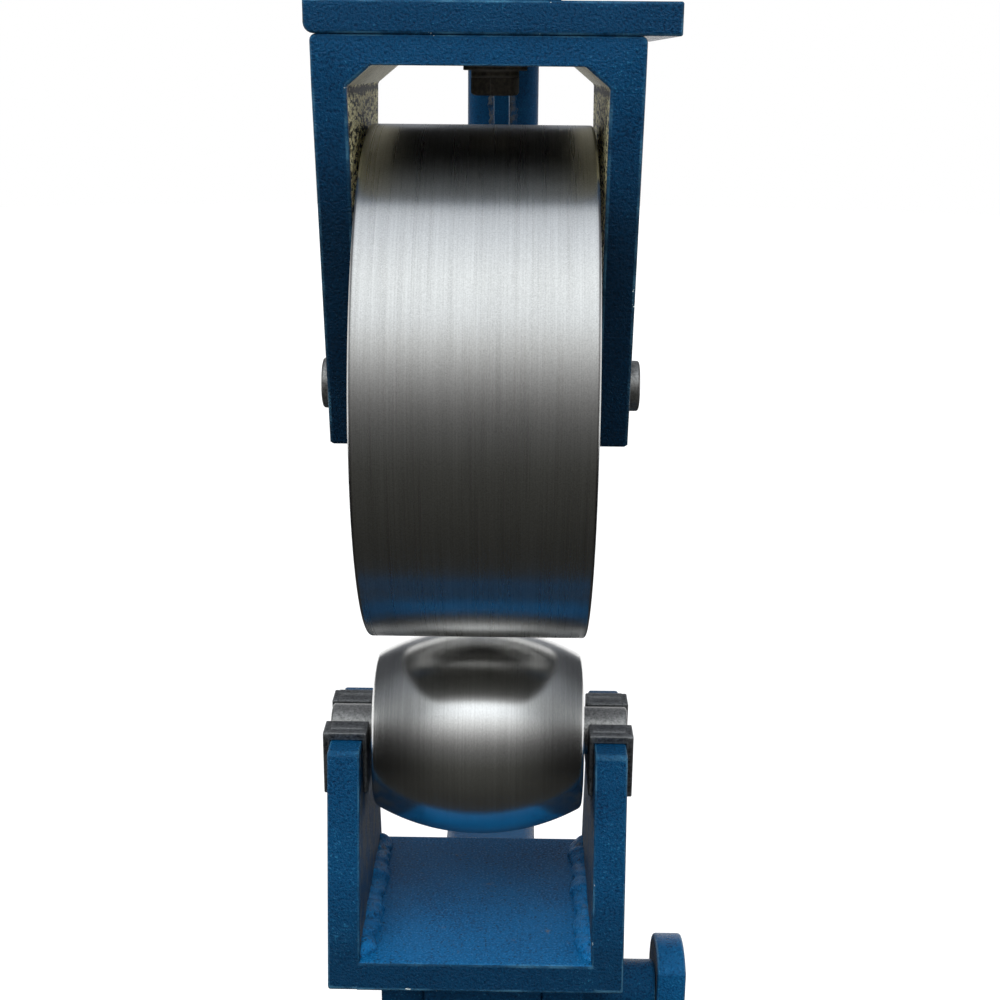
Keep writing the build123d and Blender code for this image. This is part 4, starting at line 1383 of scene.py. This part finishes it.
def moulded_rubber(name):
    """Black moulded rubber, dull, with a fine grain and grey rubbed high spots."""
    material, tree, shader, place = new_finish(name)
    grain = noise(tree, place, 1400.0, 2.0, 0.6)
    handled = noise(tree, place, 60.0, 3.0, 0.6)
    colour = ramp(tree, handled, (0.35, (0.010, 0.010, 0.011)), (0.70, (0.034, 0.033, 0.032)))
    fill_inputs(tree, shader, {
        "Base Color": colour, "Roughness": plus(tree, times(tree, handled, 0.25), 0.5),
        "Normal": bump(tree, grain, 0.00025),
    })
    return material


grip_low, grip_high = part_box("lever_grip")
grip_outline = rectangle((grip_low.x, grip_low.y), (grip_high.x, grip_high.y), 0.005)
grip_stations = 140
rib_pitch = 0.0085
rib_depth = 0.0011
rib_runout = 0.002
plain_bottom = 0.012
plain_top = 0.010
grip_end_radius = 0.003
collar_length = 0.006
collar_step = 0.0006
grip_depths = np.linspace(grip_low.z, grip_high.z, grip_stations)
from_bottom = grip_depths - grip_low.z
ribbed = np.minimum(from_bottom - plain_bottom, grip_high.z - plain_top - grip_depths)
rib_zone = np.clip(ribbed / rib_runout, 0, 1)
rib_wave = 0.5 - 0.5 * np.cos(2 * np.pi * from_bottom / rib_pitch)
off_end = 1 - np.clip(from_bottom / grip_end_radius, 0, 1)
end_round = grip_end_radius * (1 - np.sqrt(np.clip(1 - off_end ** 2, 0, 1)))
collar = collar_step * np.clip((grip_high.z - collar_length - grip_depths) / rib_runout, 0, 1)
grip_insets = end_round + rib_depth * rib_zone * rib_wave ** 2 + collar * (end_round == 0)
unworn = np.zeros(grip_stations)
make_piece(
    "rubber_grip", [stack(grip_outline, grip_depths, grip_insets, "z", unworn, unworn)],
    [moulded_rubber("black_rubber")], "lever_body", "black_grip", "lever_grip",
)


# Ram, sleeve and adjuster
# The square ram slides in a square sleeve at the end of the lower arm. A screw below it, with a
# trapezoid thread in a fixed nut, raises it, and a ring with four spokes turns the screw by foot.
head_low, head_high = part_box("ram_head")
cam_side_gap = 0.0003
cam_floor_gap = 0.0008
pocket_low_x = cam_low.x - cam_side_gap
pocket_high_x = cam_high.x + cam_side_gap
pocket_half_depth = 0.0227
pocket_floor = shaft_height - cam_back_radius - cam_floor_gap
head_corner = 0.0015
pocket_corner = 0.002
head_outline = rectangle((head_low.x, head_low.y), (head_high.x, head_high.y), head_corner)()[0]
pocket_outline = rectangle(
    (pocket_low_x, -pocket_half_depth), (pocket_high_x, pocket_half_depth), pocket_corner)()[0]
head_edge = 0.001
drawn_in = 0.96
flared = 1.06
head_rings = []
for outline, scale, height in (
    (head_outline, drawn_in, head_low.z), (head_outline, 1.0, head_low.z + head_edge),
    (head_outline, 1.0, head_low.z + 3 * head_edge), (head_outline, 1.0, head_high.z - 3 * head_edge),
    (head_outline, 1.0, head_high.z - head_edge), (head_outline, drawn_in, head_high.z),
    (pocket_outline, flared, head_high.z), (pocket_outline, 1.0, head_high.z - head_edge),
    (pocket_outline, 1.0, pocket_floor + head_edge), (pocket_outline, drawn_in, pocket_floor),
):
    centre = np.array([(head_low.x + head_high.x) / 2, 0])
    flat = centre + (outline - centre) * scale
    head_rings.append(np.column_stack([flat, np.full(len(flat), height)]))
head_rings = np.array(head_rings)
ring_wear = np.array([1, 1, 0, 0, 1, 1, 0.5, 0.5, 0, 0])[:, None]
head_shape = ring_shape(head_rings, np.broadcast_to(ring_wear, head_rings.shape[:2]))
make_piece("ram_head_block", [head_shape], [paint], "ram_body", "blue_paint", "ram_head")
greased = oiled_steel(
    "greased_ram_steel", (0.20, 0.20, 0.19), (0.46, 0.46, 0.45), grain=0.5, roughness=0.32)
make_piece(
    "square_ram", [block("ram", "z", radius=0.0025, edge=0.001)], [greased], "ram_body", "bare_steel", "ram")
low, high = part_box("ram_sleeve")
sleeve_inner = 0.0252
outer_square = rectangle((low.x, low.y), (high.x, high.y), 0.006)()[0]
inner_square = rectangle((-sleeve_inner, -sleeve_inner), (sleeve_inner, sleeve_inner), 0.0015)()[0]
make_piece(
    "sleeve_tube", [pierced(outer_square, inner_square, low.z, high.z, "z", edge=0.0012)], [paint],
    "frame", "blue_paint", "ram_sleeve",
)
low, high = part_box("adjuster_nut")
nut_half = 0.028
screw_radius = 0.015
angle = 2 * np.pi * np.arange(96) / 96
facing = np.radians(np.arange(0, 360, 45))
side_place = np.where(np.arange(8) % 2 == 0, high.x, (high.x + nut_half) / math.sqrt(2))
towards = np.cos(angle[:, None] - facing)
nut_reach = np.where(towards > 1e-3, side_place / np.maximum(towards, 1e-3), 1).min(1)
direction = np.stack([np.cos(angle), np.sin(angle)], 1)
nut_outline = direction * nut_reach[:, None]
nut_bore = direction * (screw_radius + fit_gap)
make_piece(
    "adjuster_nut_block", [pierced(nut_outline, nut_bore, low.z, high.z, "z", edge=0.0012)], [dark_steel],
    "frame", "bare_steel", "adjuster_nut",
)
thread_pitch = 0.006
thread_depth = 0.003
thread_run_out = 0.004
screw_end_step = 0.0015
flank_start = 2.2
flank_slope = 6.6
low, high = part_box("adjuster_screw")


def threaded_rod(radius, bottom, top):
    """Trapezoid thread: radius less a flat-topped wave of height / pitch less angle / full turn."""
    stations = int((top - bottom) / thread_pitch * 10)
    height = np.linspace(bottom, top, stations)[:, None]
    angle = 2 * np.pi * np.arange(40) / 40
    phase = np.mod(height / thread_pitch - angle / (2 * np.pi), 1)
    groove = np.clip(flank_start - flank_slope * np.abs(phase - 0.5), 0, 1)
    smooth_end = np.clip(np.minimum(height - bottom, top - height) / thread_run_out, 0, 1)
    rod = radius - thread_depth * groove * smooth_end - screw_end_step * (1 - smooth_end)
    rings = np.stack([rod * np.cos(angle), rod * np.sin(angle), np.broadcast_to(height, rod.shape)], -1)
    return ring_shape(rings, 0.6 * (1 - groove))


make_piece(
    "screw_thread", [threaded_rod(screw_radius, low.z, high.z)], [greased],
    "ram_body", "bare_steel", "adjuster_screw",
)
low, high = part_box("kick_wheel")
rim_radius = 0.011
ring_radius = high.x - rim_radius
wheel_middle = (low.z + high.z) / 2
hub_outer = 0.030
spoke_radius = 0.007
spoke_start = 0.02
kick_shapes = [
    turned(circle((0, ring_radius), rim_radius, 32), wheel_middle, "z", stations=160),
    turned(rectangle((low.z - wheel_middle, screw_radius), (high.z - wheel_middle, hub_outer), 0.002),
           wheel_middle, "z", stations=96),
]
for side, along in ((-1, "x"), (1, "x"), (-1, "y"), (1, "y")):
    spoke_outline = circle((0, wheel_middle), spoke_radius, 32)
    kick_shapes.append(plate(spoke_outline, *span(side, spoke_start, ring_radius), along, edge=0.001))
make_piece("kick_ring", kick_shapes, [paint], "ram_body", "blue_paint", "kick_wheel")
